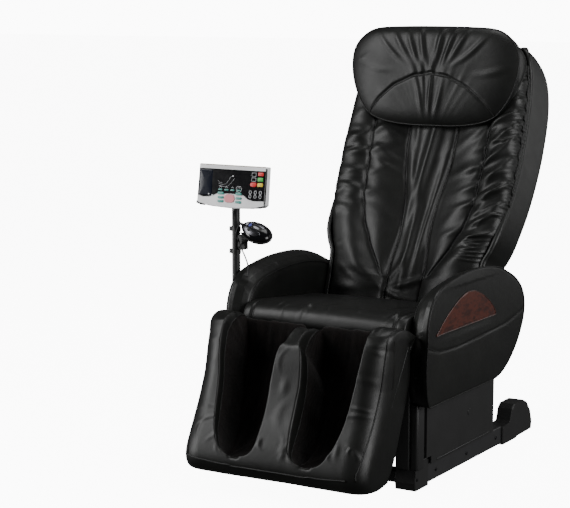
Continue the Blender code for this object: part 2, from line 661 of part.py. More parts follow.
def make_carriage(make):
    """The carriage: a housing on the lead screw, with the kneading shaft on two lugs."""
    at = back_frame_matrix()
    c = CARRIAGE_MIDDLE
    housing = make.box("massage_carriage", (-0.1690, 0.1250, c - 0.068), (0.1690, 0.1460, c + 0.068),
                       "casting", at)
    pieces = []
    for side, s in SIDES:
        low, high = sorted((s * 0.024, s * 0.032))
        pieces.append(make.box("shaft_lug_" + side, (low, 0.104, c - 0.010), (high, 0.127, c + 0.010),
                               "casting", at))
    pieces.append(make.rod("knead_shaft", (-0.058, KNEAD_SHAFT_DEPTH, c), (0.058, KNEAD_SHAFT_DEPTH, c),
                           0.0050, "casting", 16, at))
    make.join(housing, *pieces)
    make.cut(housing, make.rod("screw_bore", (0, 0.136, c - 0.1), (0, 0.136, c + 0.1), 0.0066, "casting",
                               16, at))
    motor = make.rod("massage_motor", (0.030, 0.1300, c + 0.090), (0.130, 0.1300, c + 0.090), 0.0190,
                     "zinc_steel", 20, at)
    bracket = make.box("motor_foot", (0.040, 0.1262, c + 0.0685), (0.120, 0.1450, c + 0.080), "zinc_steel", at)
    make.join(motor, bracket)
    slide = axis_empty("carriage_axis", at @ Vector((0, KNEAD_SHAFT_DEPTH, c)),
                       Matrix.Rotation(-BACK_LEAN, 4, "X"))
    hang(slide, housing, motor)


def make_roller_arms(make):
    """Two rocking arms on the kneading shaft, each with an upper and a lower roller."""
    at = back_frame_matrix()
    shaft = (KNEAD_SHAFT_DEPTH, CARRIAGE_MIDDLE)
    for side, s in SIDES:
        ends = [(ROLLER_DEPTH, CARRIAGE_MIDDLE + ROLLER_REACH), (ROLLER_DEPTH, CARRIAGE_MIDDLE - ROLLER_REACH)]
        low, high = sorted((s * 0.0450, s * 0.0530))
        arm = make.plate("roller_arm_" + side, capsule(shaft, ends[0], 0.0095), low, high, "casting", at)
        make.join(arm, make.plate("low_half_" + side, capsule(shaft, ends[1], 0.0095), low, high, "casting", at))
        for level, (depth, height) in zip(("upper", "lower"), ends):
            name = side + "_" + level
            pin = make.rod("roller_pin_" + name, (s * 0.050, depth, height), (s * 0.084, depth, height),
                           0.0040, "casting", 16, at)
            make.join(arm, pin)
            roller = make.rod("massage_roller_" + name, (s * 0.0545, depth, height),
                              (s * 0.0805, depth, height), ROLLER_RADIUS, "roller_rubber", 24, at)
            make.bevel(roller, 0.005)
            make.cut(roller, make.rod("roller_bore_" + name, (s * 0.04, depth, height),
                                      (s * 0.10, depth, height), 0.0045, "casting", 16, at))
            hang(axis_empty("roller_axis_" + name, at @ Vector((s * 0.0675, depth, height))), roller)
        make.cut(arm, make.rod("arm_bore_" + side, (s * 0.04, *shaft), (s * 0.07, *shaft), 0.0055,
                               "casting", 16, at))
        hang(axis_empty("rock_axis_" + side, at @ Vector((s * 0.049, *shaft))), arm)


# distance from the middle, lowest and highest point of the pillow there
PILLOW_STATIONS = ((0.000, 0.516, 0.799), (0.130, 0.518, 0.799), (0.190, 0.545, 0.794),
                   (0.230, 0.600, 0.782), (0.252, 0.650, 0.764), (0.264, 0.685, 0.735))
# round the pillow's section: share of its height, share of its thickness
PILLOW_SECTION = ((0.02, 0.0), (0.0, 0.45), (0.03, 0.90), (0.25, 1.0), (0.50, 1.0), (0.75, 1.0),
                  (0.91, 0.96), (0.98, 0.78), (1.0, 0.50), (0.97, 0.12), (0.85, 0.0), (0.45, 0.0))


def make_pillow(make):
    """Head pillow: thin at its foot, which lies in the back's channel, and thick at its top."""
    stations = [(-x, low, high) for x, low, high in PILLOW_STATIONS[:0:-1]] + list(PILLOW_STATIONS)
    rings = []
    for x, low, high in stations:
        rear = max(-0.006, 0.016 * (1 - (x / 0.150) ** 2) - 0.006)
        ring = []
        for rise, share in PILLOW_SECTION:
            h = low + rise * (high - low)
            front = min(rear - 0.012, -0.004 - 0.078 * (h - 0.516) / 0.270)
            ring.append((x, rear + share * (front - rear), h))
        rings.append(ring)
    pillow = make.loft("head_pillow", rings, "black_leather", back_frame_matrix())
    top = back_frame_matrix() @ Vector((0, 0.010, 0.775))
    hang(axis_empty("pillow_axis", top), pillow)


# Legrest ------------------------------------------------------------------------------------------

# height, y at the crown of the front, y of the front at the sides
LEGREST_FRONT = (
    (0.050, -0.560, -0.535), (0.056, -0.582, -0.545), (0.080, -0.598, -0.560), (0.105, -0.600, -0.565),
    (0.138, -0.590, -0.548), (0.180, -0.570, -0.517), (0.225, -0.547, -0.488), (0.270, -0.528, -0.464),
    (0.315, -0.513, -0.445), (0.360, -0.502, -0.432), (0.398, -0.490, -0.428), (0.428, -0.468, -0.424),
    (0.444, -0.436, -0.415),
)


def legrest_outline(crown):
    """Side outline of the legrest, clockwise: its rear from the top down, the toe, and the front up."""
    rear = [(-0.394, 0.443), (-0.360, 0.425), (-0.348, 0.400), (-0.348, 0.308), (-0.366, 0.264),
            (-0.389, 0.208), (-0.412, 0.153), (-0.433, 0.102), (-0.455, 0.078), (-0.500, 0.058)]
    return rear + [(side + crown * (middle - side), z) for z, middle, side in LEGREST_FRONT]


def make_legrest_pad(make):
    half = LEGREST_HALF_WIDTH
    right = ((half, 0.0, 0.940), (half - 0.004, 0.0, 0.975), (half - 0.012, 0.38, 1.0),
             (half - 0.030, 0.82, 1.0), (half - 0.056, 1.0, 1.0))
    stations = [*right, *((-x, crown, size) for x, crown, size in reversed(right))]
    rings = []
    for x, crown, size in stations:
        rings.append([(x, -0.450 + (y + 0.450) * size, 0.250 + (z - 0.250) * size)
                      for y, z in legrest_outline(crown)])
    return make.loft("legrest_pad", rings, "black_leather")


def make_legrest(make):
    at = leaning_frame(LEGREST_DATUM, LEGREST_LEAN)
    pad = make_legrest_pad(make)
    pocket = make.box("legrest_pocket", (-0.2565, -0.0185, -0.2250), (0.2565, 0.100, 0.020), "dark_plastic", at)
    cutters = [pocket]
    well_side = [(-0.3725, 0.500), (-0.3725, 0.318), (-0.4450, 0.143), (-0.4680, 0.112), (-0.5000, 0.098),
                 (-0.6400, 0.088), (-0.6400, 0.500)]
    for side, s in SIDES:
        low, high = sorted((s * 0.045, s * 0.193))
        well = make.plate("calf_well_" + side, well_side, low, high, "black_leather")
        make.bevel(well, 0.012, segments=2)
        cutters.append(well)
        low, high = sorted((s * 0.198, s * 0.2365))
        cutters.append(make.box("hinge_notch_" + side, (low, -0.372, 0.290), (high, -0.300, 0.434),
                                "black_leather"))
    crest = make.box("centre_crest", (-0.060, -0.700, 0.418), (0.060, -0.300, 0.500), "black_leather")
    cutters.append(crest)
    make.cut(pad, *cutters)

    shell = make.box("legrest_shell", (-0.2555, -0.0030, -0.2245), (0.2555, 0.0, -0.004), "dark_plastic", at)
    window = make.box("actuator_window", (0.020, -0.010, CLEVIS_UP - 0.045), (0.080, 0.010, CLEVIS_UP + 0.040),
                      "dark_plastic", at)
    make.cut(shell, window)

    paint = "painted_steel"
    hinge_point = at.inverted() @ Vector((0, *LEGREST_AXIS))
    hinge = (hinge_point.y, hinge_point.z)
    frame = make.box("legrest_frame", (-0.2340, -0.0175, -0.220), (0.2340, -0.0045, -0.200), paint, at)
    pieces = [make.box("leg_cross_mid", (-0.230, -0.0175, CLEVIS_UP - 0.012),
                       (0.230, -0.0045, CLEVIS_UP + 0.012), paint, at)]
    pieces.append(make.box("leg_cross_top", (-0.230, -0.0175, -0.010), (0.230, -0.0045, 0.010), paint, at))
    bores = []
    for side, s in SIDES:
        low, high = sorted((s * 0.2200, s * 0.2340))
        pieces.append(make.box("leg_bar_" + side, (low, -0.0175, -0.220), (high, -0.0045, 0.019), paint, at))
        low, high = sorted((s * 0.2170, s * 0.2300))
        pieces.append(make.plate("leg_lug_" + side, capsule((-0.006, 0.010), hinge, 0.0110), low, high, paint, at))
        bores.append(make.rod("leg_bore_" + side, (s * 0.205, *hinge), (s * 0.245, *hinge), 0.0065, paint, 16, at))
        low, high = sorted((LEGREST_X + s * 0.0110, LEGREST_X + s * 0.0160))
        pieces.append(make.plate("clevis_" + side, capsule((-0.006, CLEVIS_UP), (CLEVIS_BACK, CLEVIS_UP), 0.0110),
                                 low, high, paint, at))
    make.join(frame, *pieces)
    # The middle bar is open between the clevis's cheeks, so that the rod's eye swings clear of it.
    bores.append(make.box("rod_eye_gap", (LEGREST_X - 0.0108, -0.030, CLEVIS_UP - 0.020),
                          (LEGREST_X + 0.0108, 0.004, CLEVIS_UP + 0.020), paint, at))
    make.cut(frame, *bores)
    hang(axis_empty("legrest_axis", (0, *LEGREST_AXIS)), pad, shell, frame)


# Control post, panel and hand controller ------------------------------------------------------------

def make_post(make):
    socket = make.box("post_socket", (POST_X - 0.0150, POST_Y - 0.0150, 0.380), (-0.3060, POST_Y + 0.0150, 0.440),
                      "dark_plastic", bevel=0.002)
    make.cut(socket, make.rod("post_bore", (POST_X, POST_Y, 0.3870), (POST_X, POST_Y, 0.520), 0.0120,
                              "dark_plastic", 24))
    post = make.rod("controller_post", (POST_X, POST_Y, 0.3875), (POST_X, POST_Y, 0.7380), POST_RADIUS,
                    "dark_plastic", 24)
    pieces = [make.rod("tilt_shaft", (POST_X - 0.026, POST_Y, TILT_HEIGHT), (POST_X + 0.026, POST_Y, TILT_HEIGHT),
                       0.0080, "dark_plastic", 20)]
    for level, z in (("upper", 0.632), ("lower", 0.570)):
        pieces.append(make.rod("clip_ring_" + level, (POST_X, POST_Y, z), (POST_X, POST_Y, z + 0.012), 0.0135,
                               "dark_plastic", 24))
        pieces.append(make.box("clip_nose_" + level, (POST_X - 0.0190, POST_Y - 0.005, z),
                               (POST_X - 0.008, POST_Y + 0.005, z + 0.012), "dark_plastic"))
    make.join(post, *pieces)
    hang(axis_empty("post_axis", (POST_X, POST_Y, 0.440)), post)
    return post


def rounded_rectangle(middle, size, radius, steps=3):
    x, z = middle
    w, h = size[0] / 2 - radius, size[1] / 2 - radius
    return (arc((x + w, z + h), radius, 0, 90, steps) + arc((x - w, z + h), radius, 90, 180, steps)
            + arc((x - w, z - h), radius, 180, 270, steps) + arc((x + w, z - h), radius, 270, 360, steps))


# name, middle across and up, width and height
PANEL_KEYS = (
    ("start_button", (-0.0046, -0.0210), (0.032, 0.022), "pink_key"),
    ("level_key_1", (0.0625, -0.0060), (0.0105, 0.024), "pale_key"),
    ("level_key_2", (0.0785, -0.0060), (0.0105, 0.024), "pale_key"),
    ("level_key_3", (0.0942, -0.0060), (0.0105, 0.024), "pale_key"),
)


def make_control_panel(make):
    """Panel on the post's tilt shaft: a white casing, a black display plate and four keys."""
    joint = leaning_frame((POST_Y, TILT_HEIGHT), PANEL_LEAN, POST_X)
    at = leaning_frame((POST_Y, TILT_HEIGHT), PANEL_LEAN, POST_X + PANEL_SHIFT)
    casing_outline = [(-0.1080, 0.0700), (-0.1097, -0.0340), (-0.1010, -0.0400), (-0.0600, -0.0450),
                      (0.0, -0.0475), (0.0600, -0.0450), (0.1010, -0.0400), (0.1097, -0.0340),
                      (0.1080, 0.0700)]
    casing = make.plate("panel_casing", casing_outline, -PANEL_BACK, -PANEL_FRONT, "white_plastic", at,
                        FACE_PLANE, bevel=0.003)
    lugs = []
    cutters = []
    for side, s in SIDES:
        low, high = sorted((s * 0.0165, s * 0.0240))
        outline = arc((0, 0), 0.0105, -90, 90, 8) + [(-0.016, 0.0105), (-0.016, -0.0105)]
        lugs.append(make.plate("tilt_lug_" + side, outline, low, high, "white_plastic", joint))
    cutters.append(make.rod("tilt_bore", (-0.030, 0, 0), (0.030, 0, 0), 0.0083, "white_plastic", 20, joint))
    display_outline = [(-0.1055, 0.0575), (-0.1065, -0.0155), (-0.0900, -0.0200), (-0.0700, -0.0185),
                       (-0.0550, -0.0135), (-0.0420, -0.0078), (0.0340, -0.0078), (0.0440, -0.0125),
                       (0.0545, -0.0200), (0.0700, -0.0235), (0.1045, -0.0225), (0.1050, 0.0575)]
    display = make.plate("panel_display", display_outline, -PANEL_FRONT + 0.0003, -PANEL_FRONT + 0.0018,
                         "display_black", at, FACE_PLANE)
    make.join(casing, *lugs)
    keys = []
    for name, middle, size, paint in PANEL_KEYS:
        room = (size[0] + 0.0008, size[1] + 0.0008)
        outline = rounded_rectangle(middle, size, min(size) * 0.42)
        hole = rounded_rectangle(middle, room, min(room) * 0.42)
        cutters.append(make.plate(name + "_pocket", hole, -PANEL_FRONT - KEY_TRAVEL_ROOM, -PANEL_FRONT + 0.01,
                                  "white_plastic", at, FACE_PLANE))
        if name != "start_button":
            make.cut(display, make.plate(name + "_window", hole, -PANEL_FRONT - 0.01, -PANEL_FRONT + 0.01,
                                         "display_black", at, FACE_PLANE))
        top = -PANEL_FRONT + (0.0016 if name == "start_button" else 0.0032)
        key = make.plate(name, outline, -PANEL_FRONT - 0.0060, top, paint, at, FACE_PLANE)
        keys.append(key)
        place = at @ Vector((middle[0], PANEL_FRONT, middle[1]))
        hang(axis_empty(name + "_axis", place, Matrix.Rotation(-PANEL_LEAN, 4, "X")), key)
    make.cut(casing, *cutters)
    hang(axis_empty("tilt_axis", (POST_X, POST_Y, TILT_HEIGHT)), casing, display)


def hand_frame():
    return (Matrix.Translation(HAND_PLACE) @ Matrix.Rotation(HAND_DIP, 4, "Y")
            @ Matrix.Rotation(HAND_ROLL, 4, "X"))


def hand_surface(x, y):
    a, b, c = HAND_HALF
    return c * math.sqrt(1 - (x / a) ** 2 - (y / b) ** 2)


# name, place on the top face, half length and half width, paint
HAND_KEYS = (
    ("hand_white_button", (-0.0290, 0.0), (0.0034, 0.0052), "pale_key"),
    ("hand_blue_button", (-0.0185, 0.0), (0.0042, 0.0060), "blue_key"),
    ("hand_rocker", (0.0010, 0.0), (0.0096, 0.0038), "pale_key"),
    ("hand_toggle", (-0.0120, -0.0150), (0.0040, 0.0040), "cable_black"),
)


def make_hand_controller(make):
    """Mouse-shaped controller in its cradle: a bowl open above, on a stem from the post."""
    at = hand_frame()
    body = make.ball("hand_controller", HAND_HALF, "display_black", at)
    for name, (x, y), (long, wide), paint in HAND_KEYS:
        top = hand_surface(x, y)
        key = make.ball(name, (long, wide, 0.0022), paint, at @ Matrix.Translation((x, y, top)), 14, 8)
        room = make.ball(name + "_pocket", (long + 0.0005, wide + 0.0005, 0.0042), paint,
                         at @ Matrix.Translation((x, y, top)), 14, 8)
        make.cut(body, room)
        hang(axis_empty(name + "_axis", at @ Vector((x, y, top)), at.to_3x3().to_4x4()), key)
    hang(axis_empty("lift_axis", at @ Vector((0, 0, 0)), at.to_3x3().to_4x4()), body)

    wall = [value + 0.0050 for value in HAND_HALF]
    room = [value + 0.0015 for value in HAND_HALF]
    cradle = make.ball("controller_cradle", wall, "dark_plastic", at)
    stem_top = at @ Vector((-0.020, 0.006, -0.020))
    stem_foot = Vector((POST_X + POST_RADIUS + 0.0110, POST_Y - 0.002, 0.600))
    stem = make.rod("cradle_stem", stem_foot, stem_top, 0.0085, "dark_plastic", 14)
    bracket = make.box("stem_bracket", (POST_X + POST_RADIUS + GAP, POST_Y - 0.010, 0.5835),
                       (POST_X + POST_RADIUS + 0.0220, POST_Y + 0.008, 0.622), "dark_plastic")
    make.join(cradle, stem, bracket)
    hollow = make.ball("cradle_hollow", room, "dark_plastic", at)
    open_top = make.box("cradle_top", (-0.090, -0.060, -0.0015), (0.090, 0.060, 0.060), "dark_plastic", at)
    cord_end = make.box("cradle_cord_end", (-0.090, -0.060, -0.040), (-0.034, 0.060, 0.060), "dark_plastic", at)
    make.cut(cradle, hollow, open_top, cord_end)
    return cradle


# The panel's cable leaves the post below the panel and goes into the top of the right armrest.
PANEL_ROUTE = (
    (POST_X, POST_Y - 0.0145, 0.6880), (POST_X + 0.0010, POST_Y - 0.0165, 0.6740),
    (POST_X + 0.0040, POST_Y - 0.0180, 0.6550), (POST_X + 0.0100, POST_Y - 0.0190, 0.6350),
    (POST_X + 0.0190, POST_Y - 0.0195, 0.6120), (POST_X + 0.0300, POST_Y - 0.0200, 0.5880),
    (POST_X + 0.0410, POST_Y - 0.0205, 0.5680), (POST_X + 0.0490, POST_Y - 0.0210, 0.5500),
    (POST_X + 0.0520, POST_Y - 0.0210, 0.5340), (POST_X + 0.0525, POST_Y - 0.0210, 0.5040),
)


# The hand controller's cord leaves its rear end, drops beside the post and goes into the lower clip.
def hand_route():
    exit_point = hand_frame() @ Vector((-HAND_HALF[0] - 0.0006, 0, 0))
    away = hand_frame() @ Vector((-HAND_HALF[0] - 0.0080, 0, 0))
    return (tuple(exit_point), tuple(away), (-0.3010, -0.2620, 0.6440), (-0.3060, -0.2600, 0.6280),
            (-0.3090, -0.2570, 0.6120), (-0.3125, -0.2510, 0.5980), (-0.3155, -0.2460, 0.5890),
            (-0.3170, -0.2421, 0.5826))


def make_cords(make):
    make.tube("panel_cable", smooth_route(PANEL_ROUTE, 4), PANEL_CABLE_RADIUS, "cable_black")
    make.tube("controller_cord", smooth_route(hand_route(), 4), HAND_CORD_RADIUS, "cable_black")


def main():
    clear_scene()
    make = Maker()
    make_rails(make)
    make_rear_ends(make)
    make_side_panels(make)
    make_main_frame(make)
    make_seat(make)
    make_armrests(make)
    make_power_and_air(make)
    make_actuator(make, "recline", RECLINE_X, RECLINE_MOTOR_PIN, lever_eye(), 0.220, 0.085, 0.024)
    make_actuator(make, "legrest", LEGREST_X, LEGREST_MOTOR_PIN, clevis_eye(), 0.335, 0.045, 0.038)
    shell = make_back_shell(make)
    pad = make_back_pad(make)
    frame = make_back_frame(make)
    guides = make_guides(make)
    hang(axis_empty("recline_axis", (0, *RECLINE_AXIS)), shell, pad, frame, *guides)
    make_carriage(make)
    make_roller_arms(make)
    make_pillow(make)
    make_legrest(make)
    post = make_post(make)
    make_control_panel(make)
    cradle = make_hand_controller(make)
    hang(axis_empty("cradle_axis", (POST_X, POST_Y, 0.600)), cradle)
    make_cords(make)


main()
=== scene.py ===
"""Looks for the massage chair: leather, knit, burl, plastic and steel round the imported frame.

Each new piece is a surface worked out over a grid, or a profile carried along a path.
Pieces of the back use its own frame: x across, d to the rear, h up the back.
"""

import math

import bmesh
import bpy
import numpy as np
from mathutils import Matrix, Vector


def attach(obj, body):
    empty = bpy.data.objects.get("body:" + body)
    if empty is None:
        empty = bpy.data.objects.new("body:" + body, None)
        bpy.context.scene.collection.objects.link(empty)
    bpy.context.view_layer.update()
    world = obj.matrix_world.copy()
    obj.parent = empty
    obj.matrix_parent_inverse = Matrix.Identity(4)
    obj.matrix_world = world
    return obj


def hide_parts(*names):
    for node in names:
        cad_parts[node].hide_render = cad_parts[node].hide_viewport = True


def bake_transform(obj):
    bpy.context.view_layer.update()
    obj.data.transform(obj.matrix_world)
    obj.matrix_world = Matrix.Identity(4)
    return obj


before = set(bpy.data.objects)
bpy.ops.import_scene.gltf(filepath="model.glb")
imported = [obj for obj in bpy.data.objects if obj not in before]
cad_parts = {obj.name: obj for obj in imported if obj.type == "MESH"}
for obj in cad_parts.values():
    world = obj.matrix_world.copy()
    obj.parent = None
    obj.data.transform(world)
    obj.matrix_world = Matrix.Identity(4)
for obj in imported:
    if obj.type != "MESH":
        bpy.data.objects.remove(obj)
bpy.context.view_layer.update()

# Metres, +Z up, the sitter looks towards -Y, and left is the sitter's left, at +X.
SIDES = (("left", 1), ("right", -1))
POST = (-0.3255, -0.2306)                # the controller post's axis
TILT_HEIGHT = 0.741                      # the panel's tilt shaft
PANEL_SHIFT = 0.0077                     # the panel's middle beside the post
PANEL_LEAN = math.radians(8)
PANEL_FACE = -0.0360                     # the casing's front face before the tilt shaft
BACK_FOOT = (0.1000, 0.4200)             # the foot of the back's frame, (y, z)
BACK_LEAN = math.radians(22.8)
HAND_PLACE = (-0.2433, -0.2596, 0.638)   # the middle of the hand controller
HAND_HALF = (0.046, 0.030, 0.018)
HAND_DIP = math.radians(22)
HAND_ROLL = math.radians(35)
ARM_FACE, ARM_INNER = 0.3030, 0.2460     # an armrest's outer and inner face
SEAT_HALF = 0.2425
SEAT_SEAM = 0.214                        # the boxing seam's distance from the middle
WELD = 1e-6                              # points closer than this are one


# Camera -------------------------------------------------------------------------------------------

camera = bpy.data.objects.new("camera", bpy.data.cameras.new("camera"))
bpy.context.scene.collection.objects.link(camera)
camera.data.lens = 110.94
camera.data.sensor_width = 36
camera.location = (2.2275, -4.2477, 1.2726)
camera.rotation_euler = (math.radians(90 - 8.421), 0, math.radians(30.828))
camera.data.clip_start = 0.1
camera.data.clip_end = 60
bpy.context.scene.camera = camera


# Shape tools --------------------------------------------------------------------------------------

def smooth(points, count, closed=False):
    """A Catmull-Rom curve through the points, read at count places evenly spaced along it."""
    p = np.asarray(points, float)
    if closed:
        p = np.vstack([p[-1:], p, p[:2]])
    else:
        p = np.vstack([2 * p[0] - p[1], p, 2 * p[-1] - p[-2]])
    spans = len(p) - 3
    t = np.linspace(0, spans, spans * 32 + 1)
    i = np.minimum(t.astype(int), spans - 1)
    f = (t - i)[:, None]
    a, b, c, d = p[i], p[i + 1], p[i + 2], p[i + 3]
    q = 0.5 * (2 * b + (c - a) * f + (2 * a - 5 * b + 4 * c - d) * f ** 2
               + (3 * b - a - 3 * c + d) * f ** 3)
    length = np.concatenate([[0], np.cumsum(np.linalg.norm(np.diff(q, axis=0), axis=1))])
    s = np.linspace(0, length[-1], count, endpoint=not closed)
    return np.stack([np.interp(s, length, q[:, k]) for k in range(q.shape[1])], -1)


def step(x, low, high):
    """Rises smoothly from 0 at low to 1 at high."""
    t = np.clip((x - low) / (high - low), 0, 1)
    return t * t * (3 - 2 * t)


def bump(x, width):
    """A soft hill of height 1 at x = 0."""
    return np.exp(-(x / width) ** 2)


def normals(p):
    """Unit normals of a grid of points: the cross product of its two directions' differences."""
    n = np.cross(np.gradient(p, axis=0), np.gradient(p, axis=1))
    return n / np.maximum(np.linalg.norm(n, axis=-1, keepdims=True), 1e-12)


def undulation(p, size, seed, terms=9):
    """A gentle irregular swell: the mean of sine waves in seeded directions with lengths about size."""
    rng = np.random.default_rng(seed)
    total = np.zeros(p.shape[:-1])
    for _ in range(terms):
        way = rng.normal(size=p.shape[-1])
        way /= np.linalg.norm(way)
        total += np.sin(p @ way * (2 * math.pi / (size * rng.uniform(0.6, 1.7))) + rng.uniform(0, 6.28))
    return total / terms


def folds(u, v, rows):
    """Soft folds. A row is the middle u and v, the heading in degrees, length, width, height and bow.
    Each adds a ridge with a shallow valley on both sides, fading out towards its two ends."""
    total = np.zeros(np.broadcast(u, v).shape)
    for u0, v0, heading, length, width, height, bow in rows:
        c, s = math.cos(math.radians(heading)), math.sin(math.radians(heading))
        along = (u - u0) * c + (v - v0) * s
        across = (v - v0) * c - (u - u0) * s - bow * along ** 2 / max(length, 1e-6)
        r = (across / width) ** 2
        total += height * (1 - 0.9 * r) * np.exp(-r) * np.exp(-(2 * along / length) ** 2)
    return total


def scattered(seed, count, u_range, v_range, heading, length, width, height, spread=14):
    """Seeded rows for folds() spread over a patch."""
    rng = np.random.default_rng(seed)
    return [(rng.uniform(*u_range), rng.uniform(*v_range), heading + rng.normal() * spread,
             length * rng.uniform(0.6, 1.4), width * rng.uniform(0.7, 1.4),
             height * rng.uniform(0.5, 1.3), rng.uniform(-0.5, 0.5)) for _ in range(count)]


def quads(rows, columns, wrap_rows=False, wrap_columns=False):
    """Indices of the four corners of each cell of a grid."""
    i = np.arange(rows if wrap_rows else rows - 1)
    j = np.arange(columns if wrap_columns else columns - 1)
    i, j = np.meshgrid(i, j, indexing="ij")
    i2, j2 = (i + 1) % rows, (j + 1) % columns
    corners = [i * columns + j, i * columns + j2, i2 * columns + j2, i2 * columns + j]
    return np.stack(corners, -1).reshape(-1, 4)


def piece(name, points, faces, material, body, slot, closed=True, wall=0.0, weld=WELD):
    """A smooth mesh object that rides on a body, or on none when no body is given. A closed one gets its
    faces turned outwards; an open one keeps them and may get a wall."""
    mesh = bpy.data.meshes.new(name)
    mesh.from_pydata(points.reshape(-1, 3).tolist(), [], faces.tolist())
    work = bmesh.new()
    work.from_mesh(mesh)
    bmesh.ops.remove_doubles(work, verts=work.verts, dist=weld)
    bmesh.ops.delete(work, geom=[f for f in work.faces if f.calc_area() < 1e-13], context="FACES_ONLY")
    loose = [v for v in work.verts if not v.link_faces]
    bmesh.ops.delete(work, geom=loose, context="VERTS")
    if closed:
        bmesh.ops.recalc_face_normals(work, faces=work.faces)
    work.to_mesh(mesh)
    work.free()
    mesh.polygons.foreach_set("use_smooth", np.ones(len(mesh.polygons), bool))
    obj = bpy.data.objects.new(name, mesh)
    bpy.context.scene.collection.objects.link(obj)
    obj.data.materials.append(material)
    if wall:
        solid = obj.modifiers.new("wall", "SOLIDIFY")
        solid.thickness = wall
        solid.offset = -1
    if body:
        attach(obj, body)
    return obj


def join_parts(parts):
    """One points array and one faces array from several."""
    points, faces, base = [], [], 0
    for p, f in parts:
        p = p.reshape(-1, 3)
        points.append(p)
        faces.append(f + base)
        base += len(p)
    return np.vstack(points), np.vstack(faces)


def end_caps(p, count):
    """Rings that close a loft at both ends: each end ring shrunk to its middle in count steps."""
    lids = []
    for ring, k in ((p[0], np.linspace(0, 1, count)[:-1]), (p[-1], np.linspace(1, 0, count)[1:])):
        middle = ring.mean(0)
        lids.append(middle + (ring[None] - middle) * k[:, None, None])
    return np.concatenate([lids[0], p, lids[1]])


def line_at(x, yz):
    """A line of (y, z) points on the plane at x."""
    return np.stack([np.full(len(yz), x), yz[:, 0], yz[:, 1]], -1)


def tube_parts(path, radius, sides=10, closed=False, ref=(0.13, 0.21, 0.97)):
    """A round profile carried along a path: each ring is a circle square to the path's direction.
    An open one is closed by shrinking its two end rings to points."""
    path = np.asarray(path, float)
    if closed:
        way = np.roll(path, -1, 0) - np.roll(path, 1, 0)
    else:
        way = np.gradient(path, axis=0)
    way /= np.maximum(np.linalg.norm(way, axis=1, keepdims=True), 1e-12)
    side = np.cross(way, np.asarray(ref, float))
    side /= np.maximum(np.linalg.norm(side, axis=1, keepdims=True), 1e-12)
    up = np.cross(side, way)
    r = np.broadcast_to(np.asarray(radius, float), (len(path),)).copy()
    if not closed:
        path = np.vstack([path[:1], path, path[-1:]])
        side, up = np.vstack([side[:1], side, side[-1:]]), np.vstack([up[:1], up, up[-1:]])
        r = np.concatenate([[0], r, [0]])
    a = np.linspace(0, 2 * math.pi, sides, endpoint=False)
    ring = (np.cos(a)[None, :, None] * side[:, None, :] + np.sin(a)[None, :, None] * up[:, None, :])
    points = path[:, None, :] + ring * r[:, None, None]
    return points, quads(len(path), sides, wrap_rows=closed, wrap_columns=True)


def place_back(x, d, h):
    """Points of the back's frame in the chair's frame."""
    c, s = math.cos(BACK_LEAN), math.sin(BACK_LEAN)
    x, d, h = np.broadcast_arrays(x, d, h)
    return np.stack([x, BACK_FOOT[0] + d * c + h * s, BACK_FOOT[1] - d * s + h * c], -1)


def frame_points(matrix, points):
    """Points of a local frame in the chair's frame."""
    m = np.array(matrix, float)
    return np.asarray(points, float) @ m[:3, :3].T + m[:3, 3]


# Materials ----------------------------------------------------------------------------------------

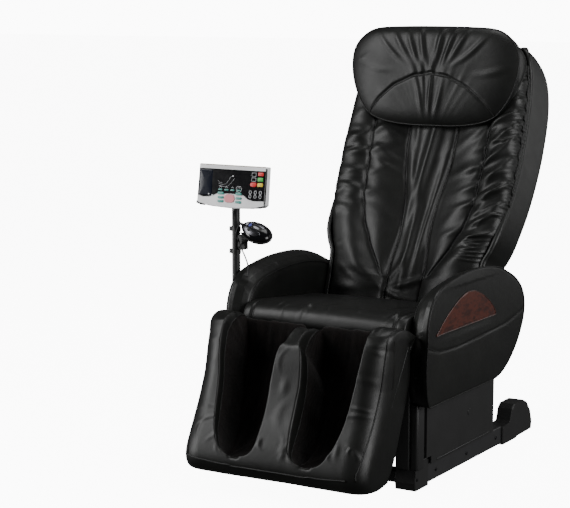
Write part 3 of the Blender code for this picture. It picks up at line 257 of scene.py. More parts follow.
class Paint:
    """Starts a node material and gives short ways to add its nodes."""

    def __init__(self, name, colour, roughness, metallic=0.0, **sockets):
        """A plain finish with the named sockets set."""
        self.material = bpy.data.materials.new(name)
        self.material.use_nodes = True
        self.nodes = self.material.node_tree.nodes
        self.links = self.material.node_tree.links
        self.shader = self.nodes["Principled BSDF"]
        self.shader.inputs["Base Color"].default_value = (*colour, 1)
        self.shader.inputs["Roughness"].default_value = roughness
        self.shader.inputs["Metallic"].default_value = metallic
        for socket, value in sockets.items():
            self.shader.inputs[socket.replace("_", " ")].default_value = value
        self.place = self.nodes.new("ShaderNodeTexCoord").outputs["Object"]
        self.height = None

    def mapped(self, scale=(1, 1, 1), turn=(0, 0, 0)):
        """Object coordinates, scaled and turned."""
        node = self.nodes.new("ShaderNodeMapping")
        node.inputs["Scale"].default_value = scale
        node.inputs["Rotation"].default_value = turn
        self.links.new(self.place, node.inputs["Vector"])
        return node.outputs["Vector"]

    def noise(self, scale, detail=4, rough=0.55, place=None):
        """Cloudy noise from 0 to 1."""
        node = self.nodes.new("ShaderNodeTexNoise")
        node.inputs["Scale"].default_value = scale
        node.inputs["Detail"].default_value = detail
        node.inputs["Roughness"].default_value = rough
        self.links.new(place or self.place, node.inputs["Vector"])
        return node.outputs["Fac"]

    def cells(self, scale):
        """Distance to the nearest edge of a pattern of pebble-like cells."""
        node = self.nodes.new("ShaderNodeTexVoronoi")
        node.feature = "DISTANCE_TO_EDGE"
        node.inputs["Scale"].default_value = scale
        self.links.new(self.place, node.inputs["Vector"])
        return node.outputs["Distance"]

    def wave(self, scale, direction, distortion):
        """Parallel bands from 0 to 1."""
        node = self.nodes.new("ShaderNodeTexWave")
        node.wave_type = "BANDS"
        node.bands_direction = direction
        node.inputs["Scale"].default_value = scale
        node.inputs["Distortion"].default_value = distortion
        self.links.new(self.place, node.inputs["Vector"])
        return node.outputs["Fac"]

    def ramp(self, value, stops):
        """A colour for each level of a value."""
        node = self.nodes.new("ShaderNodeValToRGB")
        self.links.new(value, node.inputs["Fac"])
        elements = node.color_ramp.elements
        while len(elements) < len(stops):
            elements.new(0.5)
        for element, (at, colour) in zip(elements, stops):
            element.position = at
            element.color = (*colour, 1)
        return node.outputs["Color"]

    def levels(self, value, low, high):
        """A value stretched to run from low to high."""
        node = self.nodes.new("ShaderNodeMapRange")
        node.inputs["To Min"].default_value = low
        node.inputs["To Max"].default_value = high
        self.links.new(value, node.inputs["Value"])
        return node.outputs["Result"]

    def colour(self, value, stops):
        """The base colour follows a value."""
        self.links.new(self.ramp(value, stops), self.shader.inputs["Base Color"])
        return self

    def rough(self, value, low, high):
        """The roughness follows a value."""
        self.links.new(self.levels(value, low, high), self.shader.inputs["Roughness"])
        return self

    def relief(self, value, strength, distance):
        """Adds a fine height to the surface, over what is there already."""
        node = self.nodes.new("ShaderNodeBump")
        node.inputs["Strength"].default_value = strength
        node.inputs["Distance"].default_value = distance
        self.links.new(value, node.inputs["Height"])
        if self.height is not None:
            self.links.new(self.height, node.inputs["Normal"])
        self.height = node.outputs["Normal"]
        self.links.new(self.height, self.shader.inputs["Normal"])
        return self


def leather(name, light=1.0, roughness=0.43):
    """Soft synthetic leather: fine pebbled grain, creases and a slightly uneven black."""
    p = Paint(name, (0.006, 0.0065, 0.006), roughness, Specular_IOR_Level=0.36)
    tone = p.noise(9, 3)
    p.colour(tone, [(0.25, (0.0026 * light, 0.0028 * light, 0.0025 * light)),
                    (0.75, (0.0054 * light, 0.0058 * light, 0.0050 * light))])
    p.rough(p.noise(26, 4), roughness - 0.06, roughness + 0.08)
    p.relief(p.noise(60, 3), 0.16, 0.002)
    p.relief(p.cells(900), 0.20, 0.0004)
    return p.material


def plastic(name, colour, roughness, grain=1400, strength=0.12, **sockets):
    """Moulded plastic: an even colour, faint flow marks and a fine texture."""
    p = Paint(name, colour, roughness, **sockets)
    low = tuple(c * 0.88 for c in colour)
    high = tuple(min(1.0, c * 1.10) for c in colour)
    p.colour(p.noise(14, 3), [(0.3, low), (0.7, high)])
    p.rough(p.noise(40, 3), roughness - 0.04, roughness + 0.05)
    p.relief(p.noise(grain, 2), strength, 0.0003)
    return p.material


def metal(name, colour, roughness, metallic=1.0, brushed=(1, 1, 60)):
    """Drawn or painted metal: light streaks along the bar and slight wear."""
    p = Paint(name, colour, roughness, metallic)
    streak = p.noise(30, 3, place=p.mapped(brushed))
    low = tuple(c * 0.80 for c in colour)
    high = tuple(min(1.0, c * 1.15) for c in colour)
    p.colour(streak, [(0.3, low), (0.7, high)])
    p.rough(p.noise(55, 4), roughness - 0.07, roughness + 0.10)
    p.relief(streak, 0.06, 0.0004)
    return p.material


def burl(name):
    """Dark reddish burl under lacquer: swirled grain, small eyes and a clear coat."""
    p = Paint(name, (0.10, 0.03, 0.015), 0.30, Coat_Weight=0.6, Coat_Roughness=0.10)
    swirl = p.noise(38, 6, 0.65, place=p.mapped((1, 0.6, 1.6), (0.3, 0, 0)))
    p.colour(swirl, [(0.28, (0.006, 0.002, 0.0015)), (0.44, (0.034, 0.007, 0.004)),
                     (0.56, (0.080, 0.017, 0.008)), (0.70, (0.016, 0.004, 0.0025)),
                     (0.86, (0.12, 0.030, 0.013))])
    p.rough(p.noise(120, 3), 0.24, 0.36)
    p.relief(p.noise(300, 4), 0.08, 0.0004)
    return p.material


def knit(name):
    """Brown-black stretch knit: fine ribs and courses with a soft nap."""
    p = Paint(name, (0.004, 0.0028, 0.0024), 0.92, Specular_IOR_Level=0.15, Sheen_Weight=0.08,
              Sheen_Roughness=0.5)
    p.colour(p.noise(35, 4), [(0.3, (0.0022, 0.0015, 0.0013)), (0.7, (0.0060, 0.0038, 0.0032))])
    p.relief(p.wave(260, "X", 0.6), 0.35, 0.0008)
    p.relief(p.wave(340, "Z", 0.6), 0.30, 0.0006)
    p.relief(p.noise(25, 4), 0.35, 0.006)
    return p.material


LEATHER = leather("black leather")
LEATHER_SMOOTH = leather("black leather, tight", 1.35, 0.40)
PIPING = leather("leather piping", 0.6, 0.45)
KNIT = knit("brown black knit")
BURL = burl("burl inlay")
DARK = plastic("dark satin plastic", (0.016, 0.016, 0.016), 0.42)
GREY_DARK = plastic("dark grey cover", (0.022, 0.022, 0.023), 0.45)
WHITE = plastic("white casing", (0.84, 0.84, 0.85), 0.30, strength=0.05)
GLOSS = plastic("black gloss", (0.003, 0.003, 0.004), 0.14, strength=0.02, Specular_IOR_Level=0.30,
                Coat_Weight=0.12, Coat_Roughness=0.08)
NAVY = plastic("navy window", (0.004, 0.006, 0.014), 0.16, strength=0.02, Specular_IOR_Level=0.25)
PINK = plastic("pink key", (0.74, 0.24, 0.27), 0.34, strength=0.06)
PALE = plastic("pale key", (0.42, 0.42, 0.45), 0.34, strength=0.06)
BLUE = plastic("blue violet key", (0.10, 0.12, 0.42), 0.30, strength=0.06)
TEAL = plastic("teal key", (0.05, 0.27, 0.23), 0.34, strength=0.05)
RED = plastic("red key", (0.62, 0.010, 0.012), 0.34, strength=0.05)
GREEN = plastic("green key", (0.04, 0.42, 0.05), 0.34, strength=0.05)
YELLOW = plastic("yellow key", (0.70, 0.50, 0.02), 0.34, strength=0.05)
PRINT = plastic("white print", (0.62, 0.63, 0.65), 0.40, strength=0.02)
TAN = plastic("tan edge", (0.30, 0.22, 0.15), 0.45)
STEEL_PAINT = metal("painted steel", (0.028, 0.028, 0.030), 0.40, 0.55)
BRIGHT = metal("bright steel", (0.55, 0.55, 0.56), 0.24)
ZINC = metal("zinc plated steel", (0.36, 0.37, 0.38), 0.38)
CHROME = metal("smoked chrome", (0.10, 0.10, 0.11), 0.26, brushed=(1, 1, 1))
CASTING = metal("die casting", (0.20, 0.20, 0.21), 0.52, 0.7, (1, 1, 1))
TYRE = plastic("tyre rubber", (0.022, 0.022, 0.022), 0.75, 600, 0.4)
ROLLER = plastic("roller rubber", (0.085, 0.075, 0.065), 0.62, 500, 0.3)
CABLE = plastic("cable jacket", (0.010, 0.010, 0.011), 0.48, 900, 0.2)
BOARD = plastic("seat board", (0.030, 0.027, 0.022), 0.65, 220, 0.5)

NODE_PAINTS = {
    DARK: ("rail_front_cap_left", "rail_front_cap_right", "rail_rear_cover_left", "rail_rear_cover_right",
           "side_panel_left", "side_panel_right", "legrest_shell", "post_socket", "controller_post",
           "controller_cradle", "power_supply", "mains_switch"),
    GREY_DARK: ("base_rail_left", "base_rail_right", "air_pump"),
    STEEL_PAINT: ("base_tie_bar", "base_front_crossbar", "main_frame", "back_frame", "legrest_frame"),
    TYRE: ("transport_wheel_left", "transport_wheel_right"),
    BOARD: ("seat_pan",),
    ZINC: ("guide_rail_left", "guide_rail_right", "lead_screw", "recline_actuator_body",
           "legrest_actuator_body"),
    BRIGHT: ("recline_actuator_rod", "legrest_actuator_rod"),
    CASTING: ("massage_carriage", "massage_motor", "roller_arm_left", "roller_arm_right"),
    ROLLER: ("massage_roller_left_upper", "massage_roller_left_lower", "massage_roller_right_upper",
             "massage_roller_right_lower"),
    BURL: ("arm_wood_inlay_left", "arm_wood_inlay_right"),
    WHITE: ("panel_casing",),
    GLOSS: ("panel_display", "level_key_1", "level_key_2", "level_key_3"),
    PINK: ("start_button",),
    PALE: ("hand_white_button", "hand_rocker"),
    BLUE: ("hand_blue_button",),
    CABLE: ("hand_toggle", "panel_cable", "controller_cord"),
}
for paint, names in NODE_PAINTS.items():
    for node_name in names:
        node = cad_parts[node_name]
        node.data.materials.clear()
        node.data.materials.append(paint)


# Cords --------------------------------------------------------------------------------------------

HAND_FRAME = (Matrix.Translation(HAND_PLACE) @ Matrix.Rotation(HAND_DIP, 4, "Y")
              @ Matrix.Rotation(HAND_ROLL, 4, "X"))


def cord(name, node, points, radius):
    """A round jacket carried along a smooth route."""
    route = smooth(points, 90)
    parts = tube_parts(route, radius, 12)
    obj = piece(name, *parts, CABLE, None, "cable_black")
    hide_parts(node)
    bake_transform(obj)
    return obj


def beside_post(*rows):
    """Points given from the post's axis across and to the rear, and in height from the floor."""
    return [(POST[0] + x, POST[1] + y, z) for x, y, z in rows]


cord("panel_lead", "panel_cable",
     beside_post((0, -0.0145, 0.6880), (0.0010, -0.0165, 0.6740), (0.0040, -0.0180, 0.6550),
                 (0.0100, -0.0190, 0.6350), (0.0190, -0.0195, 0.6120), (0.0300, -0.0200, 0.5880),
                 (0.0410, -0.0205, 0.5680), (0.0490, -0.0210, 0.5500), (0.0520, -0.0210, 0.5340),
                 (0.0525, -0.0210, 0.5040)), 0.0022)
cord("handset_cord", "controller_cord",
     [tuple(HAND_FRAME @ Vector((-HAND_HALF[0] - 0.0006, 0, 0))),
      tuple(HAND_FRAME @ Vector((-HAND_HALF[0] - 0.0080, 0, 0))),
      (-0.3010, -0.2620, 0.6440), (-0.3060, -0.2600, 0.6280), (-0.3090, -0.2570, 0.6120),
      (-0.3125, -0.2510, 0.5980), (-0.3155, -0.2460, 0.5890), (-0.3170, -0.2421, 0.5826)],
     0.0020)


# Armrests -----------------------------------------------------------------------------------------

ARM_OUTLINE = [(-0.306, 0.229), (-0.318, 0.252), (-0.323, 0.279), (-0.325, 0.330), (-0.320, 0.385),
               (-0.314, 0.441), (-0.298, 0.483), (-0.267, 0.516), (-0.217, 0.533), (-0.152, 0.544),
               (-0.087, 0.550), (-0.017, 0.551), (0.053, 0.547), (0.123, 0.535), (0.183, 0.514),
               (0.233, 0.491), (0.275, 0.459), (0.295, 0.422), (0.293, 0.378), (0.271, 0.335),
               (0.238, 0.297), (0.193, 0.262), (0.143, 0.238), (0.088, 0.229), (0.000, 0.228),
               (-0.100, 0.228), (-0.200, 0.228), (-0.285, 0.228)]
ARM_CENTRE = (-0.020, 0.385)
# Taper towards the foot and inset towards the middle, at distances x from the chair's middle.
ARM_TAPER = ((0.246, 0.2485, 0.252, 0.266, 0.286, 0.301, 0.304), (1.05, 1.05, 0.90, 0.45, 0.10, 0, 0))
ARM_INSET = ((0.246, 0.2480, 0.2515, 0.2980, 0.301, 0.3035), (0.976, 0.990, 1.0, 1.0, 0.997, 0.992))
SIDE_SEAM = [(-0.322, 0.386), (-0.302, 0.379), (-0.249, 0.364), (-0.147, 0.359), (-0.004, 0.364),
             (0.168, 0.372), (0.264, 0.390), (0.300, 0.400)]
INLAY_RIM = [(-0.272, 0.409), (-0.246, 0.427), (-0.211, 0.450), (-0.171, 0.470), (-0.128, 0.487),
             (-0.086, 0.496), (-0.041, 0.493), (0.004, 0.478), (0.044, 0.458), (0.074, 0.437),
             (0.094, 0.415), (0.088, 0.409), (0.0, 0.4088), (-0.12, 0.4088), (-0.24, 0.4088)]


def arm_ring(outline, x, taper, inset):
    """The outline at one x, drawn in towards the foot and the middle as the arm tapers."""
    ky, kz = (1 - 0.060 * taper) * inset, (1 - 0.080 * taper) * inset
    return np.stack([np.full(len(outline), x), -0.015 + (outline[:, 0] + 0.015) * ky,
                     0.228 + (outline[:, 1] - 0.228) * kz], -1)


def make_armrest(side, s):
    """A padded arm as rings along x: each face shrinks to its middle, and the band between them is the
    outline carried across with a taper, all raised by soft swells and cut by the side seam."""
    outline = smooth(ARM_OUTLINE, 300, closed=True)
    centre = np.array([0, *ARM_CENTRE])
    rings = []
    edge = arm_ring(outline, 0.3035, 0.0, 0.992)
    for k in np.linspace(0, 1, 44):
        ring = centre + (edge - centre) * k
        y, z = ring[:, 1], ring[:, 2]
        seam_z = np.interp(y, *np.array(SIDE_SEAM).T)
        swell = 0.0016 * (1 - k ** 6)
        on_inlay = bump(y + 0.08, 0.19) * step(z, 0.385, 0.405) * step(0.52, z, z + 0.001)
        swell = swell * (1 - 0.8 * np.clip(on_inlay, 0, 1)) - 0.0017 * bump(z - seam_z, 0.0030)
        swell += 0.0008 * undulation(np.stack([y, z], -1), 0.12, 5) * (1 - k ** 6)
        ring[:, 0] = ARM_FACE + swell
        rings.append(ring)
    xs = np.concatenate([[0.3026, 0.3012], np.linspace(0.2995, 0.2490, 34), [0.2478, 0.2466]])
    for x in xs:
        taper = np.interp(x, *ARM_TAPER)
        inset = np.interp(x, *ARM_INSET)
        rings.append(arm_ring(outline, x, taper, inset))
    last = arm_ring(outline, ARM_INNER, 1.05, 0.970)
    for k in np.linspace(1, 0, 14)[1:]:
        ring = centre + (last - centre) * k
        ring[:, 0] = ARM_INNER
        rings.append(ring)
    p = np.array(rings)
    n = normals(p)
    out = np.sign((n * (p - np.array([0.275, -0.015, 0.385]))).sum(-1, keepdims=True))
    band = step(p[..., 0], 0.250, 0.262) * step(0.3025 - p[..., 0], 0, 0.003) * step(p[..., 2], 0.25, 0.30)
    band = band[..., None]
    across, around = p[..., 0], np.arange(300)[None, :] / 300 * 1.75 + 0 * p[..., 0]
    creases = scattered(31 + s, 26, (0.05, 1.1), (0.255, 0.298), 84, 0.045, 0.006, 0.0012)
    soft = folds(around, across, creases)
    p = p + n * out * band * (soft[..., None] + 0.0012 * undulation(p, 0.10, 7)[..., None])
    p[..., 0] *= s
    obj = piece(f"armrest_{side}_leather", p, quads(len(rings), 300, wrap_columns=True), LEATHER_SMOOTH,
                "base", "black_leather")
    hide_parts("armrest_" + side)

    parts = []
    for x, taper, inset in ((0.3032, 0, 0.996), (0.2478, 1.05, 0.994)):
        line = arm_ring(outline, x, taper, inset)
        line[:, 0] *= s
        parts.append(tube_parts(line, 0.0019, 8, closed=True, ref=(1, 0, 0)))
    seam = smooth(SIDE_SEAM, 120)
    seam[:, 1] += 0.0009
    parts.append(tube_parts(line_at(s * (ARM_FACE + 0.0002), seam), 0.0009, 6, ref=(1, 0, 0)))
    piece(f"armrest_{side}_piping", *join_parts(parts), PIPING, "base", "black_leather")
    rim = smooth(INLAY_RIM, 160, closed=True)
    bevel = tube_parts(line_at(s * (ARM_FACE + 0.0020), rim), 0.0010, 8, closed=True, ref=(1, 0, 0))
    piece(f"inlay_{side}_bevel", *bevel, BURL, "base", "wood")


for side, s in SIDES:
    make_armrest(side, s)


# Seat ---------------------------------------------------------------------------------------------

SEAT_PROFILE = [(0.086, 0.372), (0.000, 0.3745), (-0.150, 0.3745), (-0.285, 0.3745), (-0.316, 0.380),
                (-0.330, 0.398), (-0.333, 0.420), (-0.322, 0.443), (-0.298, 0.456), (-0.250, 0.456),
                (-0.150, 0.446), (-0.050, 0.436), (0.040, 0.428), (0.078, 0.420), (0.090, 0.398)]


def make_seat():
    """The seat's side profile carried from side to side, rounded in at both ends, with a crowned top,
    a boxing seam near each end and creases running back from the front roll."""
    profile = smooth(SEAT_PROFILE, 220, closed=True)
    half = SEAT_HALF
    a = np.linspace(-1, 1, 181)
    x = half * np.sign(a) * (1 - (1 - np.abs(a)) ** 1.25)
    edge = np.clip((half - np.abs(x)) / 0.020, 0, 1)
    inset = 0.93 + 0.07 * np.sqrt(1 - (1 - edge) ** 2)
    middle = np.array([-0.12, 0.412])
    y = middle[0] + (profile[None, :, 0] - middle[0]) * (0.6 + 0.4 * inset[:, None])
    z = middle[1] + (profile[None, :, 1] - middle[1]) * inset[:, None]
    xx = np.broadcast_to(x[:, None], y.shape)
    top = step(z, 0.40, 0.43)
    z = z + top * 0.007 * np.cos(xx / half * math.pi / 2) * bump(y + 0.15, 0.22)
    for seam_x in (-SEAT_SEAM, SEAT_SEAM):
        z = z - top * 0.0035 * bump(xx - seam_x, 0.0035)
    y = y + step(-y, 0.30, 0.325) * 0.0035 * (bump(xx - SEAT_SEAM, 0.0035) + bump(xx + SEAT_SEAM, 0.0035))
    creases = scattered(3, 12, (-0.23, 0.23), (-0.33, 0.06), 86, 0.10, 0.010, 0.0022, 22)
    creases += scattered(4, 16, (-0.23, 0.23), (-0.32, -0.27), 90, 0.05, 0.007, 0.0018, 10)
    z = z + top * folds(xx, y, creases)
    z = np.maximum(z, 0.3735)
    p = np.stack([xx, y, z], -1)
    p = end_caps(p, 8)
    obj = piece("seat_cushion_leather", p, quads(len(p), 220, wrap_columns=True), LEATHER, "base",
                "black_leather")
    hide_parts("seat_cushion")
    # A rolled valance hangs under the seat's front roll.
    a = np.linspace(-0.238, 0.238, 160)
    ring = np.linspace(0, 2 * math.pi, 24, endpoint=False)
    sag = 0.0012 * np.sin(a * 47) + 0.0009 * np.sin(a * 113 + 1)
    yy = -0.318 + 0.0075 * np.cos(ring)[None, :] + sag[:, None]
    zz = 0.3665 + 0.0085 * np.sin(ring)[None, :] + sag[:, None]
    q = np.stack([np.broadcast_to(a[:, None], yy.shape), yy, zz], -1)
    caps = [q[:1].mean(1, keepdims=True) + 0 * q[:1], q, q[-1:].mean(1, keepdims=True) + 0 * q[-1:]]
    q = np.concatenate(caps)
    piece("seat_valance", q, quads(len(q), 24, wrap_columns=True), LEATHER, "base", "black_leather")


make_seat()


# Back ---------------------------------------------------------------------------------------------

# Half widths up the back: the pad, the middle strip's seams and the bolsters' piping.
H = (0.000, 0.060, 0.125, 0.200, 0.294, 0.400, 0.510, 0.617, 0.700, 0.736)
PAD_HALF = (0.2330, 0.2360, 0.2410, 0.2660, 0.2790, 0.2815, 0.2790, 0.2740, 0.2620, 0.2480)
CHANNEL_HALF = ((-0.03, 0.056), (0.07, 0.056), (0.128, 0.054), (0.200, 0.046), (0.290, 0.050),
                (0.380, 0.066), (0.450, 0.074), (0.525, 0.076), (0.74, 0.080))
PIPE_HALF = ((-0.03, 0.0565), (0.055, 0.060), (0.070, 0.068), (0.082, 0.080), (0.103, 0.092),
             (0.153, 0.123), (0.186, 0.138), (0.226, 0.158), (0.277, 0.170), (0.301, 0.176),
             (0.366, 0.180), (0.407, 0.182), (0.492, 0.184), (0.531, 0.182), (0.740, 0.172))
PAD_WIDTHS = list(zip(H, PAD_HALF))
PAD_REAR = 0.0705                        # depth of the pad's flat rear


def eased(table, h):
    """Reads a table as a smooth curve."""
    fine = smooth(table, 300)
    return np.interp(h, fine[:, 0], fine[:, 1])


def pad_front(x, h):
    """Depth of the pad's front: a middle strip that sinks between two panels, a bolster outside each
    piping line that swells forward, and narrow valleys along the seams."""
    half = eased(PAD_WIDTHS, h)
    c, q = eased(CHANNEL_HALF, h), eased(PIPE_HALF, h)
    q = np.maximum(q, c + 0.0005)
    a = np.abs(x)
    sunk = 0.020 + 0.014 * bump(h - 0.32, 0.20)
    strip = sunk - 0.010 * np.cos(np.clip(a / c, 0, 1) * math.pi / 2)
    share = np.clip((a - c) / (q - c), 0, 1)
    hollow = 0.010 * np.sin(math.pi * share) * np.clip((q - c) / 0.1, 0, 1)
    panel = sunk + (0.010 - sunk) * step(share, 0, 1) - hollow
    out = np.clip((a - q) / np.maximum(half - q, 0.01), 0, 1)
    puff = (0.017 + 0.013 * bump(h - 0.11, 0.10)) * np.sin(math.pi * out ** 0.8) + 0.006 * out
    bolster = 0.010 - puff
    d = np.where(a < c, strip, np.where(a < q, panel, bolster))
    d = d + 0.0045 * bump(a - c, 0.0045) + 0.0040 * bump(a - q, 0.0040) * step(h, 0.05, 0.09)
    return d


def make_back_pad():
    """Rings up the back. Each runs across the front, round the rolled side and across the flat rear."""
    across = np.linspace(-1, 1, 261)
    hs = np.linspace(-0.012, 0.738, 250)
    u, h = np.meshgrid(across, hs)
    half = eased(PAD_WIDTHS, h)
    roll = 0.028
    w = np.abs(u)
    turn = np.clip((w - 0.84) / 0.10, 0, 1) * math.pi / 2
    down = np.clip((w - 0.94) / 0.06, 0, 1)
    x = np.sign(u) * np.where(w < 0.84, w / 0.84 * (half - roll), half - roll + roll * np.sin(turn))
    d = pad_front(x, h) + roll * (1 - np.cos(turn)) + down * 0.040
    d = np.minimum(d, PAD_REAR)
    # Puckers: across the bolsters, along the strip, and slack pulls on the two panels.
    rows = []
    rows += scattered(41, 9, (-0.262, -0.195), (0.20, 0.56), 8, 0.110, 0.0155, 0.0036, 12)
    rows += scattered(42, 14, (0.195, 0.262), (0.16, 0.56), 33, 0.105, 0.0115, 0.0046, 9)
    rows += scattered(43, 7, (-0.272, -0.235), (0.12, 0.66), 12, 0.055, 0.0085, 0.0024, 16)
    rows += scattered(44, 12, (0.235, 0.272), (0.12, 0.66), 30, 0.055, 0.0072, 0.0034, 14)
    rows += [(-0.212, 0.430, 10, 0.15, 0.016, 0.0052, 0.3), (-0.215, 0.372, 4, 0.14, 0.018, 0.0046, 0.2),
             (-0.205, 0.300, 16, 0.13, 0.019, 0.0038, 0.2), (-0.205, 0.500, 6, 0.13, 0.016, 0.0040, 0.2),
             (0.215, 0.432, 38, 0.15, 0.013, 0.0070, 0.3), (0.210, 0.372, 34, 0.15, 0.013, 0.0064, 0.2),
             (0.205, 0.318, 30, 0.14, 0.013, 0.0056, 0.2), (0.222, 0.490, 36, 0.13, 0.013, 0.0056, 0.2),
             (0.225, 0.545, 28, 0.12, 0.012, 0.0046, 0.2), (0.175, 0.250, 44, 0.13, 0.014, 0.0042, 0.2)]
    # A ruched patch where the left bolster runs down behind the armrest.
    rows += [(0.205 + 0.004 * (n % 3), 0.128 + 0.0115 * n, 4 + 3 * (n % 4), 0.060, 0.0040, 0.0034, 0.2)
             for n in range(7)]
    for s in (-1, 1):
        low_patch, high_patch = sorted((s * 0.12, s * 0.225)), sorted((s * 0.095, s * 0.165))
        rows += scattered(50 + s, 5, low_patch, (0.02, 0.13), s * 14, 0.13, 0.017, 0.0024, 14)
        rows += scattered(54 + s, 4, high_patch, (0.26, 0.50), s * 30, 0.12, 0.018, 0.0024, 10)
        rows += [(s * 0.135, 0.400, s * 24, 0.14, 0.018, 0.0036, 0.1),
                 (s * 0.130, 0.490, s * 34, 0.15, 0.018, 0.0036, 0.1)]
    rows += [(0.002, 0.440, 82, 0.36, 0.021, 0.0105, 0.1), (-0.040, 0.350, 97, 0.28, 0.017, 0.0060, 0.1),
             (0.046, 0.330, 84, 0.26, 0.015, 0.0052, 0.0), (-0.006, 0.190, 89, 0.28, 0.018, 0.0076, 0.0),
             (0.030, 0.200, 86, 0.20, 0.011, 0.0036, 0.0), (-0.046, 0.520, 94, 0.16, 0.013, 0.0036, 0.0),
             (-0.024, 0.100, 62, 0.11, 0.014, 0.0036, 0.3), (0.020, 0.055, 24, 0.12, 0.013, 0.0038, 0.3),
             (-0.015, 0.015, -16, 0.13, 0.013, 0.0038, 0.3)]
    crease = folds(x, h, rows) * (1 - step(w, 0.90, 1.0))
    d = d - crease
    d = d + 0.0016 * undulation(np.stack([x, h], -1), 0.10, 11) * (w < 0.9)
    # The rolled sides are gathered where they meet the shell.
    gather = 0.0024 * np.sin(h * 2 * math.pi / 0.019 + 2.2 * np.sin(h * 31))
    gather *= step(w, 0.84, 0.92) * (1 - step(w, 0.97, 1.0))
    gather *= step(h, 0.10, 0.16) * np.where(u < 0, 0.45, 1.0)
    x = x - np.sign(u) * np.abs(gather)
    rear_x = np.linspace(x[:, -1], x[:, 0], 24, axis=1)[:, 1:-1]
    rear_d = np.full(rear_x.shape, PAD_REAR)
    x, d = np.hstack([x, rear_x]), np.hstack([d, rear_d])
    hh = np.hstack([h, np.broadcast_to(hs[:, None], rear_x.shape)])
    p = place_back(x, d, hh)
    p = end_caps(p, 6)
    obj = piece("back_pad_leather", p, quads(*p.shape[:2], wrap_columns=True), LEATHER, "back",
                "black_leather")
    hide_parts("back_pad")

    parts = []
    for s in (-1, 1):
        h = np.linspace(0.064, 0.60, 160)
        x = s * eased(PIPE_HALF, h)
        parts.append(tube_parts(place_back(x, pad_front(x, h) - 0.0012, h), 0.0021, 8))
        h = np.linspace(0.0, 0.60, 150)
        x = s * eased(CHANNEL_HALF, h)
        parts.append(tube_parts(place_back(x, pad_front(x, h) - 0.0002, h), 0.0012, 6))
        h = np.linspace(0.14, 0.73, 220)
        half_here = eased(PAD_WIDTHS, h)
        wander = (0.0022 if s > 0 else 0.0008) * np.sin(h * 2 * math.pi / 0.041 + 2.0 * np.sin(h * 23))
        depth = 0.024 if s > 0 else 0.040
        edge = place_back(s * (half_here - 0.0020), depth + wander * 1.6, h + wander)
        parts.append(tube_parts(edge, 0.0028, 8))
    piece("back_pad_piping", *join_parts(parts), PIPING, "back", "black_leather")


make_back_pad()

# Stations of the shell: height, half width, depth of its rear and depth of its front hem.
SHELL = ((-0.030, 0.2370, 0.136, 0.008), (0.050, 0.2400, 0.143, 0.006), (0.125, 0.2440, 0.150, 0.002),
         (0.160, 0.2580, 0.157, 0.000), (0.200, 0.2695, 0.163, 0.000), (0.260, 0.2755, 0.178, 0.014),
         (0.330, 0.2780, 0.198, 0.032), (0.410, 0.2790, 0.214, 0.044), (0.510, 0.2775, 0.226, 0.048),
         (0.617, 0.2735, 0.227, 0.045), (0.690, 0.2665, 0.212, 0.036), (0.732, 0.2585, 0.182, 0.024),
         (0.756, 0.2485, 0.132, 0.022), (0.766, 0.2375, 0.060, 0.026))


def make_shell():
    """An open U of leather over a hard shell, carried up the back and closed over its top, with a
    rolled front hem and a seam down each rear corner."""
    fine = smooth(SHELL, 170)
    rows = []
    for h, half, rear, front in fine:
        corner = min(0.055, (rear - max(front, 0)) * 0.45)
        a = np.linspace(0, math.pi / 2, 16)
        side_d = np.linspace(front + 0.006, rear - corner, 22)
        hem = np.linspace(-math.pi * 0.75, 0, 8)[:-1]
        xs = [half - 0.006 + 0.006 * np.cos(hem), np.full(22, half), half - corner + corner * np.cos(a)[1:]]
        ds = [front + 0.006 + 0.006 * np.sin(hem), side_d, rear - corner + corner * np.sin(a)[1:]]
        xr = np.linspace(half - corner, 0, 24)[1:]
        xs.append(xr)
        ds.append(rear + 0.004 * (1 - (xr / max(half - corner, 1e-3)) ** 2))
        x, d = np.concatenate(xs), np.concatenate(ds)
        x, d = np.concatenate([x, -x[-2::-1]]), np.concatenate([d, d[-2::-1]])
        rows.append(np.stack([x, d, np.full(len(x), h)], -1))
    p = np.array(rows)
    last = p[-1]
    for k in (0.82, 0.55, 0.25, 0.04):
        ring = last.copy()
        ring[:, 1] = 0.034 + (last[:, 1] - 0.034) * k
        ring[:, 2] = 0.766 + 0.006 * math.sqrt(1 - k * k)
        p = np.concatenate([p, ring[None]])
    wide = np.abs(p[..., 0])
    seam = bump(wide - (wide.max(1, keepdims=True) - 0.028), 0.003) * (p[..., 1] > 0.09)
    p[..., 1] -= 0.0022 * seam
    p[..., 1] += 0.0015 * undulation(p[..., [0, 2]], 0.18, 21) * step(p[..., 1], 0.08, 0.14)
    q = place_back(p[..., 0], p[..., 1], p[..., 2])
    obj = piece("back_shell_cover", q[::-1], quads(*q.shape[:2]), LEATHER_SMOOTH, "back", "black_leather",
                closed=False, wall=0.0035)
    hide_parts("back_shell")


make_shell()


# Head pillow --------------------------------------------------------------------------------------

PILLOW_SIDE = [(0.080, 0.520), (0.150, 0.529), (0.200, 0.549), (0.236, 0.592), (0.257, 0.642),
               (0.264, 0.690), (0.256, 0.732), (0.228, 0.765), (0.184, 0.784), (0.100, 0.789)]
PILLOW_OUTLINE = [(0, 0.519), *PILLOW_SIDE, (0, 0.790), *((-x, h) for x, h in reversed(PILLOW_SIDE))]
ARCH_SIDE = [(0.055, 0.648), (0.116, 0.621), (0.165, 0.584), (0.200, 0.5475)]
ARCH = [*((-x, h) for x, h in reversed(ARCH_SIDE)), (0, 0.657), *ARCH_SIDE]


def pillow_front(h):
    """Depth of the pillow's front plane: it leans forward as it rises."""
    return -0.006 - 0.078 * (h - 0.516) / 0.270


